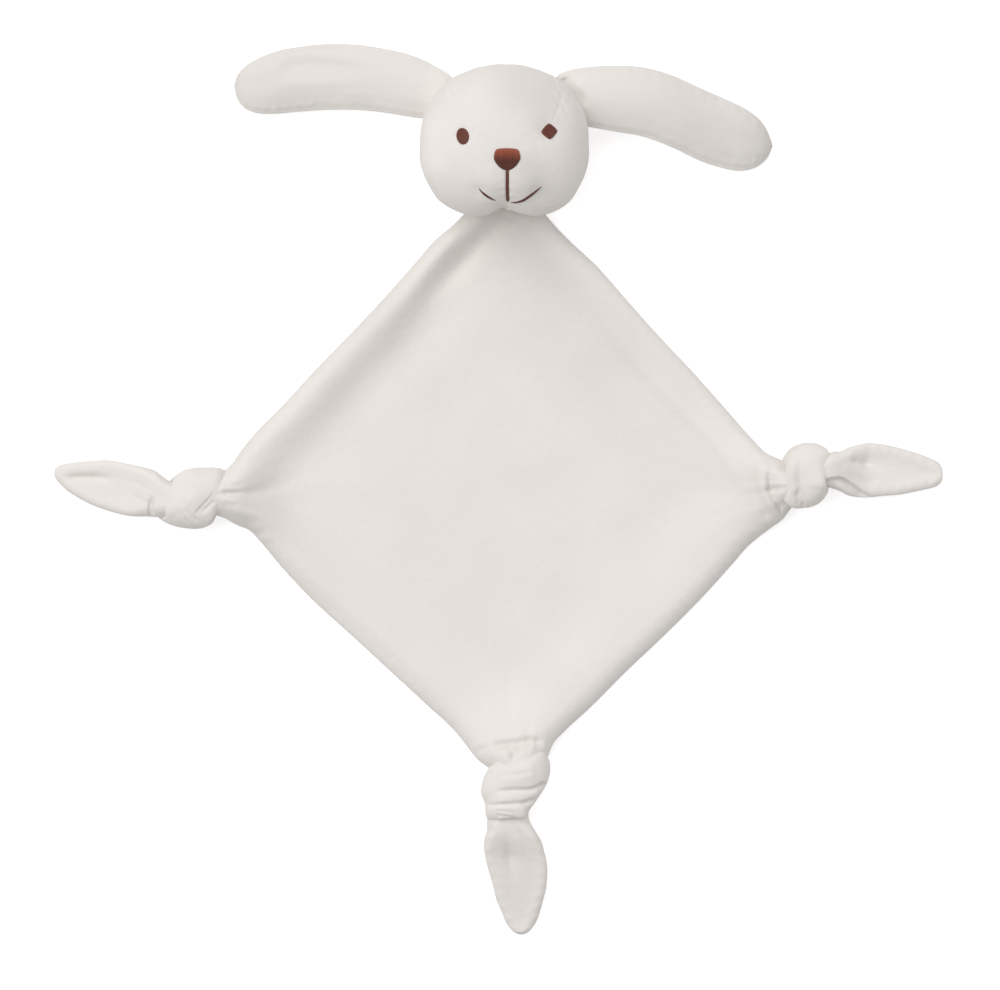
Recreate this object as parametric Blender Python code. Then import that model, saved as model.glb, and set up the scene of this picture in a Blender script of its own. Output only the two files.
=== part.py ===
# A comfort blanket with a stuffed rabbit head: a two-layer square of short-pile cloth,
# three corners tied in overhand knots, the fourth sewn to the head. It lies face up on a
# table. Metres, +Z up, +Y towards the head, origin under the middle of the blanket.
import math

import bmesh
import bpy
import numpy as np

MM = 0.001

# Cloth
CLOTH = 1.8 * MM
SKIN = 1.2 * MM
GAP = 0.3 * MM
HINGE_GAP = 0.35 * MM

# Blanket: how far its virtual corners reach from the origin
SIDE_REACH = 117.5 * MM
HEAD_REACH = 126.0 * MM
FOOT_REACH = 117.0 * MM
RIM_WIDTH = 16.0 * MM
RIM_RISE = 3.2 * MM
RAMP_LENGTH = 34.0 * MM
FOLD_RISE = 2.6 * MM
FOLD_WIDTH = 9.0 * MM

# Head: half its width, height and depth, and the notch under the chin
HEAD_HALF_WIDTH = 32.8 * MM
HEAD_HALF_HEIGHT = 30.4 * MM
HEAD_HALF_DEPTH = 26.0 * MM
HEAD_X = -0.8 * MM
HEAD_Y = 137.2 * MM
CHIN_NOTCH = 3.6 * MM
NECK_RADIUS = 4.5 * MM
NECK_LENGTH = 26.0 * MM
NECK_SLANT = math.radians(24.0)

# Face, in thread
THREAD = 0.5 * MM
EYE_WIDTH = 5.4 * MM
EYE_HEIGHT = 6.2 * MM
EYE_SPACING = 34.4 * MM
EYE_RISE = 3.0 * MM
NOSE_WIDTH = 10.4 * MM
NOSE_HEIGHT = 8.8 * MM
NOSE_X = 1.4 * MM
NOSE_DROP = 7.0 * MM
LIP_LINE = 1.5 * MM
LIP_LENGTH = 11.6 * MM
MOUTH_LINE = 0.9 * MM
MOUTH_SPAN = 22.0 * MM

# Ears
EAR_LENGTH = 81.0 * MM
EAR_HALF_THICKNESS = 5.0 * MM
EAR_ROOT_HEIGHT = 20.0 * MM
EAR_ROOT_CLEARANCE = 0.95 * MM
EAR_ROOT_PINCH_SHARE = 0.5

# Knots and tails: a turn of the strand measures STRAND across, with its gap
STRAND = 8.0 * MM
STRAND_GAP = 0.5 * MM
STRAND_FAN_WIDTH = 31.0 * MM
STRAND_END_WIDTH = 20.0 * MM
STRAND_END_HEIGHT = 6.0 * MM
KNOT_MARGIN = 4.0 * MM
LEFT_KNOT_PAST = 3.9 * MM
RIGHT_KNOT_PAST = 4.3 * MM
FOOT_KNOT_PAST = 2.6 * MM
LEFT_KNOT_REACH = SIDE_REACH + LEFT_KNOT_PAST
RIGHT_KNOT_REACH = SIDE_REACH + RIGHT_KNOT_PAST
FOOT_KNOT_REACH = FOOT_REACH + FOOT_KNOT_PAST
LEFT_KNOT_SHIFT = -5.0 * MM
RIGHT_KNOT_SHIFT = 3.0 * MM
FOOT_KNOT_SHIFT = 4.8 * MM
TAIL_LENGTH = 42.4 * MM
TAIL_VALLEY = 1.6 * MM

# Edges as shares of the length: station, along and across on one edge, then on the other
LEFT_EAR_SHARES = (
    (0.00, -0.074, 0.103, 0.069, -0.103),
    (0.15, 0.084, 0.197, 0.177, -0.084),
    (0.30, 0.256, 0.246, 0.305, -0.064),
    (0.50, 0.502, 0.271, 0.493, -0.054),
    (0.70, 0.700, 0.256, 0.690, -0.069),
    (0.85, 0.862, 0.212, 0.847, -0.079),
    (0.95, 0.956, 0.158, 0.956, -0.049),
    (1.00, 1.000, 0.094, 1.000, 0.034),
)
RIGHT_EAR_SHARES = (
    (0.00, -0.071, 0.126, 0.071, -0.126),
    (0.15, 0.074, 0.165, 0.177, -0.143),
    (0.30, 0.246, 0.175, 0.305, -0.165),
    (0.50, 0.453, 0.140, 0.488, -0.219),
    (0.70, 0.675, 0.057, 0.660, -0.300),
    (0.85, 0.847, -0.030, 0.788, -0.340),
    (0.95, 0.931, -0.089, 0.897, -0.333),
    (1.00, 0.970, -0.158, 0.956, -0.296),
)
LEFT_TAIL_SHARES = (
    (0.00, 0.210, -0.235),
    (0.28, 0.195, -0.302),
    (0.43, 0.168, -0.335),
    (0.58, 0.122, -0.344),
    (0.74, 0.058, -0.335),
    (0.89, -0.014, -0.312),
    (0.96, -0.090, -0.290),
    (1.00, -0.160, -0.245),
)
RIGHT_TAIL_SHARES = (
    (0.00, 0.281, -0.200),
    (0.15, 0.314, -0.200),
    (0.30, 0.307, -0.184),
    (0.45, 0.276, -0.175),
    (0.60, 0.231, -0.152),
    (0.75, 0.177, -0.118),
    (0.84, 0.134, -0.094),
    (0.87, 0.080, -0.050),
)
FOOT_TAIL_SHARES = (
    (0.00, 0.210, -0.290),
    (0.15, 0.222, -0.316),
    (0.37, 0.278, -0.297),
    (0.60, 0.269, -0.231),
    (0.72, 0.241, -0.203),
    (0.83, 0.212, -0.146),
    (0.94, 0.175, -0.118),
    (1.05, 0.061, -0.005),
)

BLANKET_RING_SHARES = (0.28, 0.52, 0.69, 0.79, 0.86, 0.915, 0.96, 1.0)
EDGE_STEPS = 10
CUT_STEPS = 3
EAR_STATIONS = 12
EAR_ACROSS = 8
TAIL_STATIONS = 9
TAIL_ACROSS = 6
PANEL_ALONG = 14
PANEL_ACROSS = 10
TUBE_SIDES = 8
KNOT_POINTS = 90
KNOT_SPACING_SHARE = 0.19
KNOT_BEND_SHARE = 0.6
KNOT_PULLS = 700


def clear_scene():
    for found in list(bpy.data.objects):
        bpy.data.objects.remove(found, do_unlink=True)


def make_material(name, colour, roughness):
    material = bpy.data.materials.new(name)
    material.use_nodes = True
    shader = material.node_tree.nodes["Principled BSDF"]
    shader.inputs["Base Color"].default_value = (*colour, 1.0)
    shader.inputs["Roughness"].default_value = roughness
    shader.inputs["Metallic"].default_value = 0.0
    return material


def make_collection():
    collection = bpy.data.collections.new("comfort_blanket_rabbit")
    bpy.context.scene.collection.children.link(collection)
    return collection


def add_carrier(name, where, parent=None):
    # An empty on a joint's axis: what it carries turns about it.
    carrier = bpy.data.objects.new(name, None)
    carrier.empty_display_size = NECK_RADIUS
    COLLECTION.objects.link(carrier)
    carrier["place"] = [float(value) for value in where]
    if parent is None:
        carrier.location = where
    else:
        carrier.parent = parent
        carrier.location = np.array(where) - np.array(parent["place"])
    return carrier


def add_piece(name, points, faces, material, carrier=None):
    # Points are in the world; the mesh is stored about its carrier.
    base = np.zeros(3) if carrier is None else np.array(carrier["place"])
    mesh = bpy.data.meshes.new(name)
    mesh.from_pydata((np.asarray(points) - base).tolist(), [], faces)
    shape = bmesh.new()
    shape.from_mesh(mesh)
    bmesh.ops.recalc_face_normals(shape, faces=shape.faces)
    if shape.calc_volume(signed=True) < 0:
        bmesh.ops.reverse_faces(shape, faces=shape.faces)
    shape.to_mesh(mesh)
    shape.free()
    mesh.materials.append(material)
    piece = bpy.data.objects.new(name, mesh)
    COLLECTION.objects.link(piece)
    piece.parent = carrier
    return piece


def grid_layout(rows, columns):
    # Faces of a grid and the loop of points round its edge.
    faces = []
    for row in range(rows - 1):
        for column in range(columns - 1):
            first = row * columns + column
            faces.append((first, first + 1, first + columns + 1, first + columns))
    loop = list(range(columns))
    loop += [row * columns + columns - 1 for row in range(1, rows)]
    loop += [(rows - 1) * columns + column for column in range(columns - 2, -1, -1)]
    loop += [row * columns for row in range(rows - 2, 0, -1)]
    return faces, loop


def disc_layout(rings, spokes):
    # Faces of a disc about one middle point, and its outer loop.
    faces = []
    for spoke in range(spokes):
        after = (spoke + 1) % spokes
        faces.append((0, 1 + spoke, 1 + after))
        for ring in range(rings - 1):
            inner = 1 + ring * spokes
            outer = inner + spokes
            faces.append((inner + spoke, outer + spoke, outer + after, inner + after))
    start = 1 + (rings - 1) * spokes
    return faces, [start + spoke for spoke in range(spokes)]


def between_layers(upper, lower, layout):
    # One closed solid between two sheets of points with the same layout.
    # Both sheets are split along the same diagonals, so that stacked layers keep their gap.
    faces, loop = layout
    count = len(upper)
    solid = []
    for face in faces:
        for index in range(1, len(face) - 1):
            corner = (face[0], face[index], face[index + 1])
            solid.append(corner)
            solid.append(tuple(count + point for point in reversed(corner)))
    for index, start in enumerate(loop):
        end = loop[(index + 1) % len(loop)]
        solid.append((end, start, start + count, end + count))
    return np.concatenate([upper, lower]), solid


def tube(centres, side, rise, half_width, half_height, sides):
    # A closed tube of elliptical sections, flat at both ends.
    turn = np.arange(sides) * 2 * math.pi / sides
    width = half_width[:, None, None] * np.cos(turn)[None, :, None]
    height = half_height[:, None, None] * np.sin(turn)[None, :, None]
    points = centres[:, None] + side[:, None] * width + rise[:, None] * height
    faces = []
    for ring in range(len(centres) - 1):
        for index in range(sides):
            after = (index + 1) % sides
            low = ring * sides
            faces.append((low + index, low + after, low + sides + after, low + sides + index))
    faces.append(tuple(range(sides)))
    faces.append(tuple((len(centres) - 1) * sides + index for index in range(sides)))
    return points.reshape(-1, 3), faces


def smooth(value):
    value = np.clip(value, 0, 1)
    return value * value * (3 - 2 * value)


def through(stations, table, places):
    # A smooth line through a table's values at the stations.
    stations = np.asarray(stations)
    table = np.asarray(table)
    slopes = np.gradient(table, stations, axis=0)
    index = np.clip(np.searchsorted(stations, places) - 1, 0, len(stations) - 2)
    width = (stations[index + 1] - stations[index])[:, None]
    part = ((places - stations[index]) / width[:, 0])[:, None]
    first = table[index] * (1 + 2 * part) * (1 - part) ** 2
    first += slopes[index] * width * part * (1 - part) ** 2
    second = table[index + 1] * part**2 * (3 - 2 * part)
    second -= slopes[index + 1] * width * part**2 * (1 - part)
    return first + second


# Head

def head_middle():
    return np.array([HEAD_X, HEAD_Y, HEAD_HALF_DEPTH])


def head_points(direction, grow=0.0):
    # The head's surface in each direction from its middle; grow moves it outwards.
    x, y, z = direction[..., 0], direction[..., 1], direction[..., 2]
    jowl = 1 + np.where(y < 0, 0.85, 0.30) * y**4
    notch = np.exp(-((x / 0.2) ** 2)) * np.clip(-y, 0, None) ** 3
    wide = (HEAD_HALF_WIDTH + grow) * x * jowl
    tall = (HEAD_HALF_HEIGHT + grow) * y + CHIN_NOTCH * notch
    deep = (HEAD_HALF_DEPTH + grow) * z
    return head_middle() + np.stack([wide, tall, deep], axis=-1)


def face_points(across, up, grow):
    # The head's surface under a point of the face, seen from the front.
    x = across / HEAD_HALF_WIDTH
    y = up / HEAD_HALF_HEIGHT
    for _ in range(60):
        z = np.sqrt(np.clip(1 - x**2 - y**2, 0.01, 1))
        found = head_points(np.stack([x, y, z], axis=-1)) - head_middle()
        x = np.clip(x + 0.6 * (across - found[..., 0]) / HEAD_HALF_WIDTH, -0.95, 0.95)
        y = np.clip(y + 0.6 * (up - found[..., 1]) / HEAD_HALF_HEIGHT, -0.93, 0.93)
    z = np.sqrt(np.clip(1 - x**2 - y**2, 0.01, 1))
    return head_points(np.stack([x, y, z], axis=-1), grow)


def panel_direction(tilt, turn):
    # Tilt is from the nose over the head to the nape, turn is round that line from the crown.
    nose = np.array([NOSE_X / HEAD_HALF_WIDTH, -NOSE_DROP / HEAD_HALF_HEIGHT, 0.0])
    nose[2] = math.sqrt(1 - nose @ nose)
    crown = np.array([0.0, 1.0, 0.0]) - nose[1] * nose
    crown /= np.linalg.norm(crown)
    right = np.cross(crown, nose)
    around = np.cos(turn)[..., None] * crown + np.sin(turn)[..., None] * right
    return np.cos(tilt)[..., None] * nose + np.sin(tilt)[..., None] * around


def seam_turn(tilt):
    return math.radians(36) + math.radians(42) * np.exp(-tilt / math.radians(45))


def head_panel(name, start, end, carrier):
    # One cloth panel, like a slice of peel from the nose to the nape.
    tilt = np.linspace(math.radians(5), math.radians(176), PANEL_ALONG)[:, None]
    slack = 0.55 * GAP / (HEAD_HALF_DEPTH * np.sin(tilt))
    low = start(tilt) + slack
    high = end(tilt) - slack
    turn = low + (high - low) * np.linspace(0, 1, PANEL_ACROSS)[None, :]
    direction = panel_direction(tilt + 0 * turn, turn)
    upper = head_points(direction).reshape(-1, 3)
    lower = head_points(direction, -SKIN).reshape(-1, 3)
    layout = grid_layout(PANEL_ALONG, PANEL_ACROSS)
    points, faces = between_layers(upper, lower, layout)
    add_piece(name, points, faces, VELOUR, carrier)


def make_head_panels(carrier):
    head_panel("head_gusset", lambda t: -seam_turn(t), seam_turn, carrier)
    head_panel("head_right_cheek", seam_turn, lambda t: math.pi + 0 * t, carrier)
    head_panel("head_left_cheek", lambda t: -math.pi + 0 * t, lambda t: -seam_turn(t), carrier)


def make_head_filling(carrier):
    grow = -(SKIN + 4 * GAP)
    tilt = np.linspace(math.radians(14), math.radians(166), PANEL_ALONG - 3)[:, None]
    turn = np.arange(3 * PANEL_ACROSS)[None, :] * 2 * math.pi / (3 * PANEL_ACROSS)
    rings = head_points(panel_direction(tilt + 0 * turn, turn + 0 * tilt), grow)
    ends = head_points(panel_direction(np.array([0.0, math.pi]), np.zeros(2)), grow)
    spokes = rings.shape[1]
    points = np.concatenate([ends[:1], rings.reshape(-1, 3), ends[1:]])
    faces, _ = disc_layout(rings.shape[0], spokes)
    last = len(points) - 1
    start = 1 + (rings.shape[0] - 1) * spokes
    for spoke in range(spokes):
        faces.append((start + spoke, last, start + (spoke + 1) % spokes))
    add_piece("head_filling", points, faces, FIBRE, carrier)


def neck_axis():
    # The neck's axis as near to the head as the gather's radius and its gap allow.
    tilt = np.linspace(0, math.pi, 120)[:, None]
    turn = np.linspace(-math.pi, math.pi, 240)[None, :]
    surface = head_points(panel_direction(tilt + 0 * turn, turn + 0 * tilt)).reshape(-1, 3)
    near = surface[np.abs(surface[:, 0] - HEAD_X) < NECK_LENGTH / 2]
    way = np.array([-math.cos(NECK_SLANT), -math.sin(NECK_SLANT)])
    short, far = 0.5 * HEAD_HALF_HEIGHT, 2 * HEAD_HALF_HEIGHT
    for _ in range(40):
        reach = (short + far) / 2
        axis = head_middle()[1:] + way * reach
        clear = np.linalg.norm(near[:, 1:] - axis, axis=1).min()
        if clear > NECK_RADIUS + GAP:
            far = reach
        else:
            short = reach
    return np.array([HEAD_X, *axis])


def make_neck_gather(carrier):
    # The blanket's gathered corner, rolled and sewn under the chin.
    along = np.array([-1, -0.94, -0.8, -0.4, 0, 0.4, 0.8, 0.94, 1]) * NECK_LENGTH / 2
    round_off = np.array([0.55, 0.82, 1, 1, 1, 1, 1, 0.82, 0.55])
    sides = 24
    turn = np.arange(sides) * 2 * math.pi / sides
    radius = NECK_RADIUS * (0.94 + 0.06 * np.cos(8 * turn))[None, :] * round_off[:, None]
    centre = np.array(carrier["place"])
    x = centre[0] + along[:, None] + 0 * radius
    y = centre[1] + radius * np.cos(turn)
    z = centre[2] + radius * np.sin(turn)
    points = np.stack([x, y, z], axis=-1).reshape(-1, 3)
    faces = []
    for ring in range(len(along) - 1):
        for index in range(sides):
            after = (index + 1) % sides
            low = ring * sides
            faces.append((low + index, low + after, low + sides + after, low + sides + index))
    faces.append(tuple(range(sides)))
    faces.append(tuple((len(along) - 1) * sides + index for index in range(sides)))
    add_piece("neck_gather", points, faces, VELOUR, carrier)


def face_disc(name, across, up, outline, carrier):
    # A filled patch of satin stitch: outline is a closed row of points about its middle.
    steps = np.array([0.5, 1.0])[:, None, None]
    rings = (outline[None] * steps).reshape(-1, 2)
    flat = np.concatenate([np.zeros((1, 2)), rings]) + np.array([across, up])
    upper = face_points(flat[:, 0], flat[:, 1], GAP + THREAD)
    lower = face_points(flat[:, 0], flat[:, 1], GAP)
    layout = disc_layout(2, len(outline))
    points, faces = between_layers(upper, lower, layout)
    add_piece(name, points, faces, BROWN, carrier)


def face_line(name, line, width, carrier):
    # A narrow row of stitches along a line on the face.
    heading = np.gradient(line, axis=0)
    heading /= np.linalg.norm(heading, axis=1)[:, None]
    side = np.stack([-heading[:, 1], heading[:, 0]], axis=1)
    spread = np.array([-0.5, 0.0, 0.5]) * width
    flat = (line[:, None] + side[:, None] * spread[None, :, None]).reshape(-1, 2)
    upper = face_points(flat[:, 0], flat[:, 1], GAP + THREAD)
    lower = face_points(flat[:, 0], flat[:, 1], GAP)
    layout = grid_layout(len(line), len(spread))
    points, faces = between_layers(upper, lower, layout)
    add_piece(name, points, faces, BROWN, carrier)


def make_face(carrier):
    turn = np.arange(16) * 2 * math.pi / 16
    oval = np.stack([np.cos(turn) * EYE_WIDTH, np.sin(turn) * EYE_HEIGHT], axis=1) / 2
    middle = 0.03 * EYE_SPACING
    face_disc("left_eye", middle - EYE_SPACING / 2, EYE_RISE - MM, oval, carrier)
    face_disc("right_eye", middle + EYE_SPACING / 2, EYE_RISE + MM, oval, carrier)
    # The nose is a shield: flat above, narrowing to a round end below.
    width = NOSE_WIDTH / 2 * np.sign(np.cos(turn)) * np.abs(np.cos(turn)) ** 0.7
    rise = NOSE_HEIGHT / 2 * np.sin(turn)
    flat = np.where(rise > 0, 0.9, 1.0) * rise
    narrow = np.where(rise < 0, 1 + 0.45 * rise / (NOSE_HEIGHT / 2), 1.0)
    shield = np.stack([width * narrow, flat], axis=1)
    face_disc("nose", NOSE_X, -NOSE_DROP, shield, carrier)
    top = -NOSE_DROP - NOSE_HEIGHT / 2 - GAP
    down = np.linspace(top, top - LIP_LENGTH, 7)
    line = np.stack([np.full(7, NOSE_X), down], axis=1)
    face_line("lip_line", line, LIP_LINE, carrier)
    part = np.linspace(0, 1, 7)
    low = top - LIP_LENGTH - 0.9 * MM
    reach = MOUTH_SPAN / 2
    right = np.stack([NOSE_X + 0.4 * MM + part * reach, low + 4.4 * MM * part**2], axis=1)
    left = np.stack([NOSE_X - 4.4 * MM - 0.6 * part * reach, low + 5.2 * MM * part**1.5], axis=1)
    face_line("mouth_right", right, MOUTH_LINE, carrier)
    face_line("mouth_left", left, MOUTH_LINE, carrier)


# Ears

def ear_frame(root_high, root_low):
    # The root's middle, pushed out until its axis clears the head.
    middle = (root_high + root_low) / 2
    along = (root_low - root_high) / np.linalg.norm(root_low - root_high)
    outward = np.array([along[1], -along[0], 0.0])
    if outward[0] * (middle[0] - HEAD_X) < 0:
        outward = -outward
    tilt = np.linspace(0, math.pi, 120)[:, None]
    turn = np.linspace(-math.pi, math.pi, 240)[None, :]
    surface = head_points(panel_direction(tilt + 0 * turn, turn + 0 * tilt)).reshape(-1, 3)
    half = np.linalg.norm(root_low - root_high) / 2
    shift = 12 * MM
    for _ in range(200):
        place = middle + outward * shift
        offset = surface - place
        beside = offset - (offset @ along)[:, None] * along
        near = np.abs(offset @ along) < half
        if np.linalg.norm(beside[near], axis=1).min() < EAR_ROOT_CLEARANCE:
            break
        shift -= 0.1 * MM
    return place, along


def ear_sheets(shares, place, sign):
    # Middle points and half thickness over the ear; sign is which way it points.
    table = np.array(shares)
    station = np.linspace(0, 1, EAR_STATIONS)
    edges = through(table[:, 0], table[:, 1:], station) * EAR_LENGTH
    across = np.sin(np.linspace(-0.5, 0.5, EAR_ACROSS + 1) * math.pi)
    part = (across[None, :, None] + 1) / 2
    high = edges[:, None, 0:2]
    low = edges[:, None, 2:4]
    flat = low + (high - low) * part
    x = place[0] + sign * flat[..., 0]
    y = place[1] + flat[..., 1]
    drop = smooth(station / 0.55)[:, None]
    rest = EAR_HALF_THICKNESS + 0 * drop
    middle = EAR_ROOT_HEIGHT + (rest - EAR_ROOT_HEIGHT) * drop + 0 * across
    swell = smooth(station / 0.35) * smooth((1 - station) / 0.3)
    pinch = EAR_ROOT_PINCH_SHARE + (1 - EAR_ROOT_PINCH_SHARE) * smooth(station / 0.08)
    skin = SKIN * pinch[:, None] + 0 * across
    thin = skin + GAP / 2
    full = np.sqrt(np.clip(1 - across**2, 0, 1))[None, :]
    half = thin + (EAR_HALF_THICKNESS - thin) * swell[:, None] * full
    return x, y, middle, half, skin


def make_ear(side, shares, place, sign, carrier):
    x, y, middle, half, skin = ear_sheets(shares, place, sign)
    layout = grid_layout(*x.shape)

    def sheet(height):
        return np.stack([x, y, middle + height], axis=-1).reshape(-1, 3)

    points, faces = between_layers(sheet(half), sheet(half - skin), layout)
    add_piece(side + "_ear_front", points, faces, VELOUR, carrier)
    points, faces = between_layers(sheet(skin - half), sheet(-half), layout)
    add_piece(side + "_ear_back", points, faces, VELOUR, carrier)
    inner = (slice(2, -1), slice(1, -1))
    fill = half[inner] - SKIN - GAP
    upper = np.stack([x[inner], y[inner], middle[inner] + fill], axis=-1)
    lower = np.stack([x[inner], y[inner], middle[inner] - fill], axis=-1)
    layout = grid_layout(*fill.shape)
    points, faces = between_layers(upper.reshape(-1, 3), lower.reshape(-1, 3), layout)
    add_piece(side + "_ear_filling", points, faces, FIBRE, carrier)


# Blanket

def blanket_outline(corners, cuts):
    # The diamond's outline with its corners cut where the knots and the neck begin.
    outline = [np.array(corner) for corner in corners]
    for point, outward in cuts:
        kept = []
        for index, start in enumerate(outline):
            end = outline[(index + 1) % len(outline)]
            first = (start - point) @ outward
            second = (end - point) @ outward
            if first <= 0:
                kept.append(start)
            if first * second < 0:
                kept.append(start + (end - start) * first / (first - second))
        outline = kept
    points = []
    for index, start in enumerate(outline):
        end = outline[(index + 1) % len(outline)]
        long_edge = np.linalg.norm(end - start) > 2 * STRAND_END_WIDTH + RIM_WIDTH
        steps = EDGE_STEPS if long_edge else CUT_STEPS
        for step in range(steps):
            points.append(start + (end - start) * step / steps)
    return np.array(points)


def edge_distance(flat, corners):
    found = np.full(len(flat), 1.0)
    for index, start in enumerate(corners):
        start = np.array(start)
        end = np.array(corners[(index + 1) % len(corners)])
        way = (end - start) / np.linalg.norm(end - start)
        inward = np.array([way[1], -way[0]])
        if inward @ start > 0:
            inward = -inward
        found = np.minimum(found, (flat - start) @ inward)
    return np.clip(found, 0, None)


def fold_height(flat):
    # Soft folds run from the neck over the front layer.
    total = np.zeros(len(flat))
    neck = np.array([HEAD_X, HEAD_REACH - RAMP_LENGTH])
    for angle, reach, share in ((-128, 44, 1.0), (-62, 40, 0.7), (-95, 52, 0.5)):
        way = np.array([math.cos(math.radians(angle)), math.sin(math.radians(angle))])
        offset = flat - neck
        along = offset @ way
        beside = offset @ np.array([-way[1], way[0]])
        body = smooth((along + 10 * MM) / (12 * MM)) * smooth((reach * MM - along) / (18 * MM))
        total += share * FOLD_RISE * body * np.exp(-((beside / FOLD_WIDTH) ** 2))
    return total


def make_blanket(ends):
    # Ends: for each gathered corner, a point on its cut, the way out and the height there.
    corners = ((-SIDE_REACH, -MM), (HEAD_X, HEAD_REACH), (SIDE_REACH, -MM), (3 * MM, -FOOT_REACH))
    outline = blanket_outline(corners, [(point, way) for point, way, _ in ends])
    rings = [outline * share for share in BLANKET_RING_SHARES]
    flat = np.concatenate([np.zeros((1, 2)), *rings])
    lift = np.zeros(len(flat))
    spread = np.zeros(len(flat))
    for point, way, height in ends:
        share = smooth(1 + (flat - point) @ way / RAMP_LENGTH)
        lift = np.maximum(lift, share * (height - CLOTH - GAP / 2))
        spread = np.maximum(spread, share)
    inside = edge_distance(flat, corners)
    rim = np.sin(math.pi * np.clip(inside / RIM_WIDTH, 0, 1)) ** 2
    puff = RIM_RISE * rim * (1 - spread) + fold_height(flat) * (1 - spread)
    layout = disc_layout(len(rings), len(outline))

    def sheet(height):
        return np.concatenate([flat, height[:, None]], axis=1)

    points, faces = between_layers(sheet(lift + CLOTH), sheet(lift), layout)
    add_piece("blanket_back", points, faces, VELOUR)
    floor = lift + CLOTH + GAP + puff
    points, faces = between_layers(sheet(floor + CLOTH), sheet(floor), layout)
    add_piece("blanket_front", points, faces, VELOUR)


# Knots and tails

def pull_tight():
    # An overhand knot, tied loose from its textbook curve, then pulled tight by its ends.
    # Lengths are in strands: no two turns may come nearer than one strand.
    count = KNOT_POINTS
    t = np.linspace(-2.3, 2.3, 1500)
    loose = np.stack([t**5 - 10 * t, 2.6 * (t**4 - 4 * t**2), 4.5 * (t**3 - 3 * t)], axis=1)
    loose *= 0.16
    run = np.concatenate([[0], np.cumsum(np.linalg.norm(np.diff(loose, axis=0), axis=1))])
    place = np.linspace(0, run[-1], count)
    path = np.stack([np.interp(place, run, loose[:, axis]) for axis in range(3)], axis=1)
    path -= path.mean(axis=0)
    spacing = place[1]
    first, second = np.triu_indices(count, 2)
    bend = KNOT_BEND_SHARE
    for _ in range(KNOT_PULLS):
        spacing = max(KNOT_SPACING_SHARE, spacing * 0.997)
        arc = (second - first) * spacing
        curved = 2 * bend * np.sin(np.minimum(arc, math.pi * bend) / (2 * bend)) * 0.985
        least = np.where(arc < math.pi * bend, curved, 1.0)
        path[0, 0] -= 0.012
        path[-1, 0] += 0.012
        path[0, 1:] *= 0.98
        path[-1, 1:] *= 0.98
        for _ in range(4):
            for start in (0, 1):
                index = np.arange(start, count - 1, 2)
                link = path[index + 1] - path[index]
                length = np.linalg.norm(link, axis=1)
                mend = (0.5 * (length - spacing) / length)[:, None] * link
                path[index] += mend
                path[index + 1] -= mend
            apart = path[second] - path[first]
            distance = np.linalg.norm(apart, axis=1)
            close = np.flatnonzero(distance < least)
            share = 0.25 * (least[close] - distance[close]) / distance[close]
            push = share[:, None] * apart[close]
            for axis in range(3):
                path[:, axis] += np.bincount(second[close], push[:, axis], count)
                path[:, axis] -= np.bincount(first[close], push[:, axis], count)
    path = 0.5 * (path + path[::-1] * np.array([-1, 1, -1]))
    apart = np.linalg.norm(path[second] - path[first], axis=1)
    turns = apart[(second - first) * spacing > 1.6].min()
    gap = turns * STRAND - (STRAND - STRAND_GAP)
    print("knot: least gap between its turns", round(float(gap) * 1000, 2), "mm")
    return path


def knot_half(path):
    # Half the knot's length in strands: how far the turns that wrap it reach.
    wrapping = np.abs(path[:, 2]) > KNOT_BEND_SHARE
    return np.abs(path[wrapping, 0]).max()


def knot_reach():
    return (KNOT_HALF + 0.5) * STRAND + KNOT_MARGIN


def strand_height():
    # How high the strand enters, with the knot's lowest turn on the table.
    return -KNOT_PATH[:, 1].min() * STRAND + (STRAND - STRAND_GAP) / 2 + GAP


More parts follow.
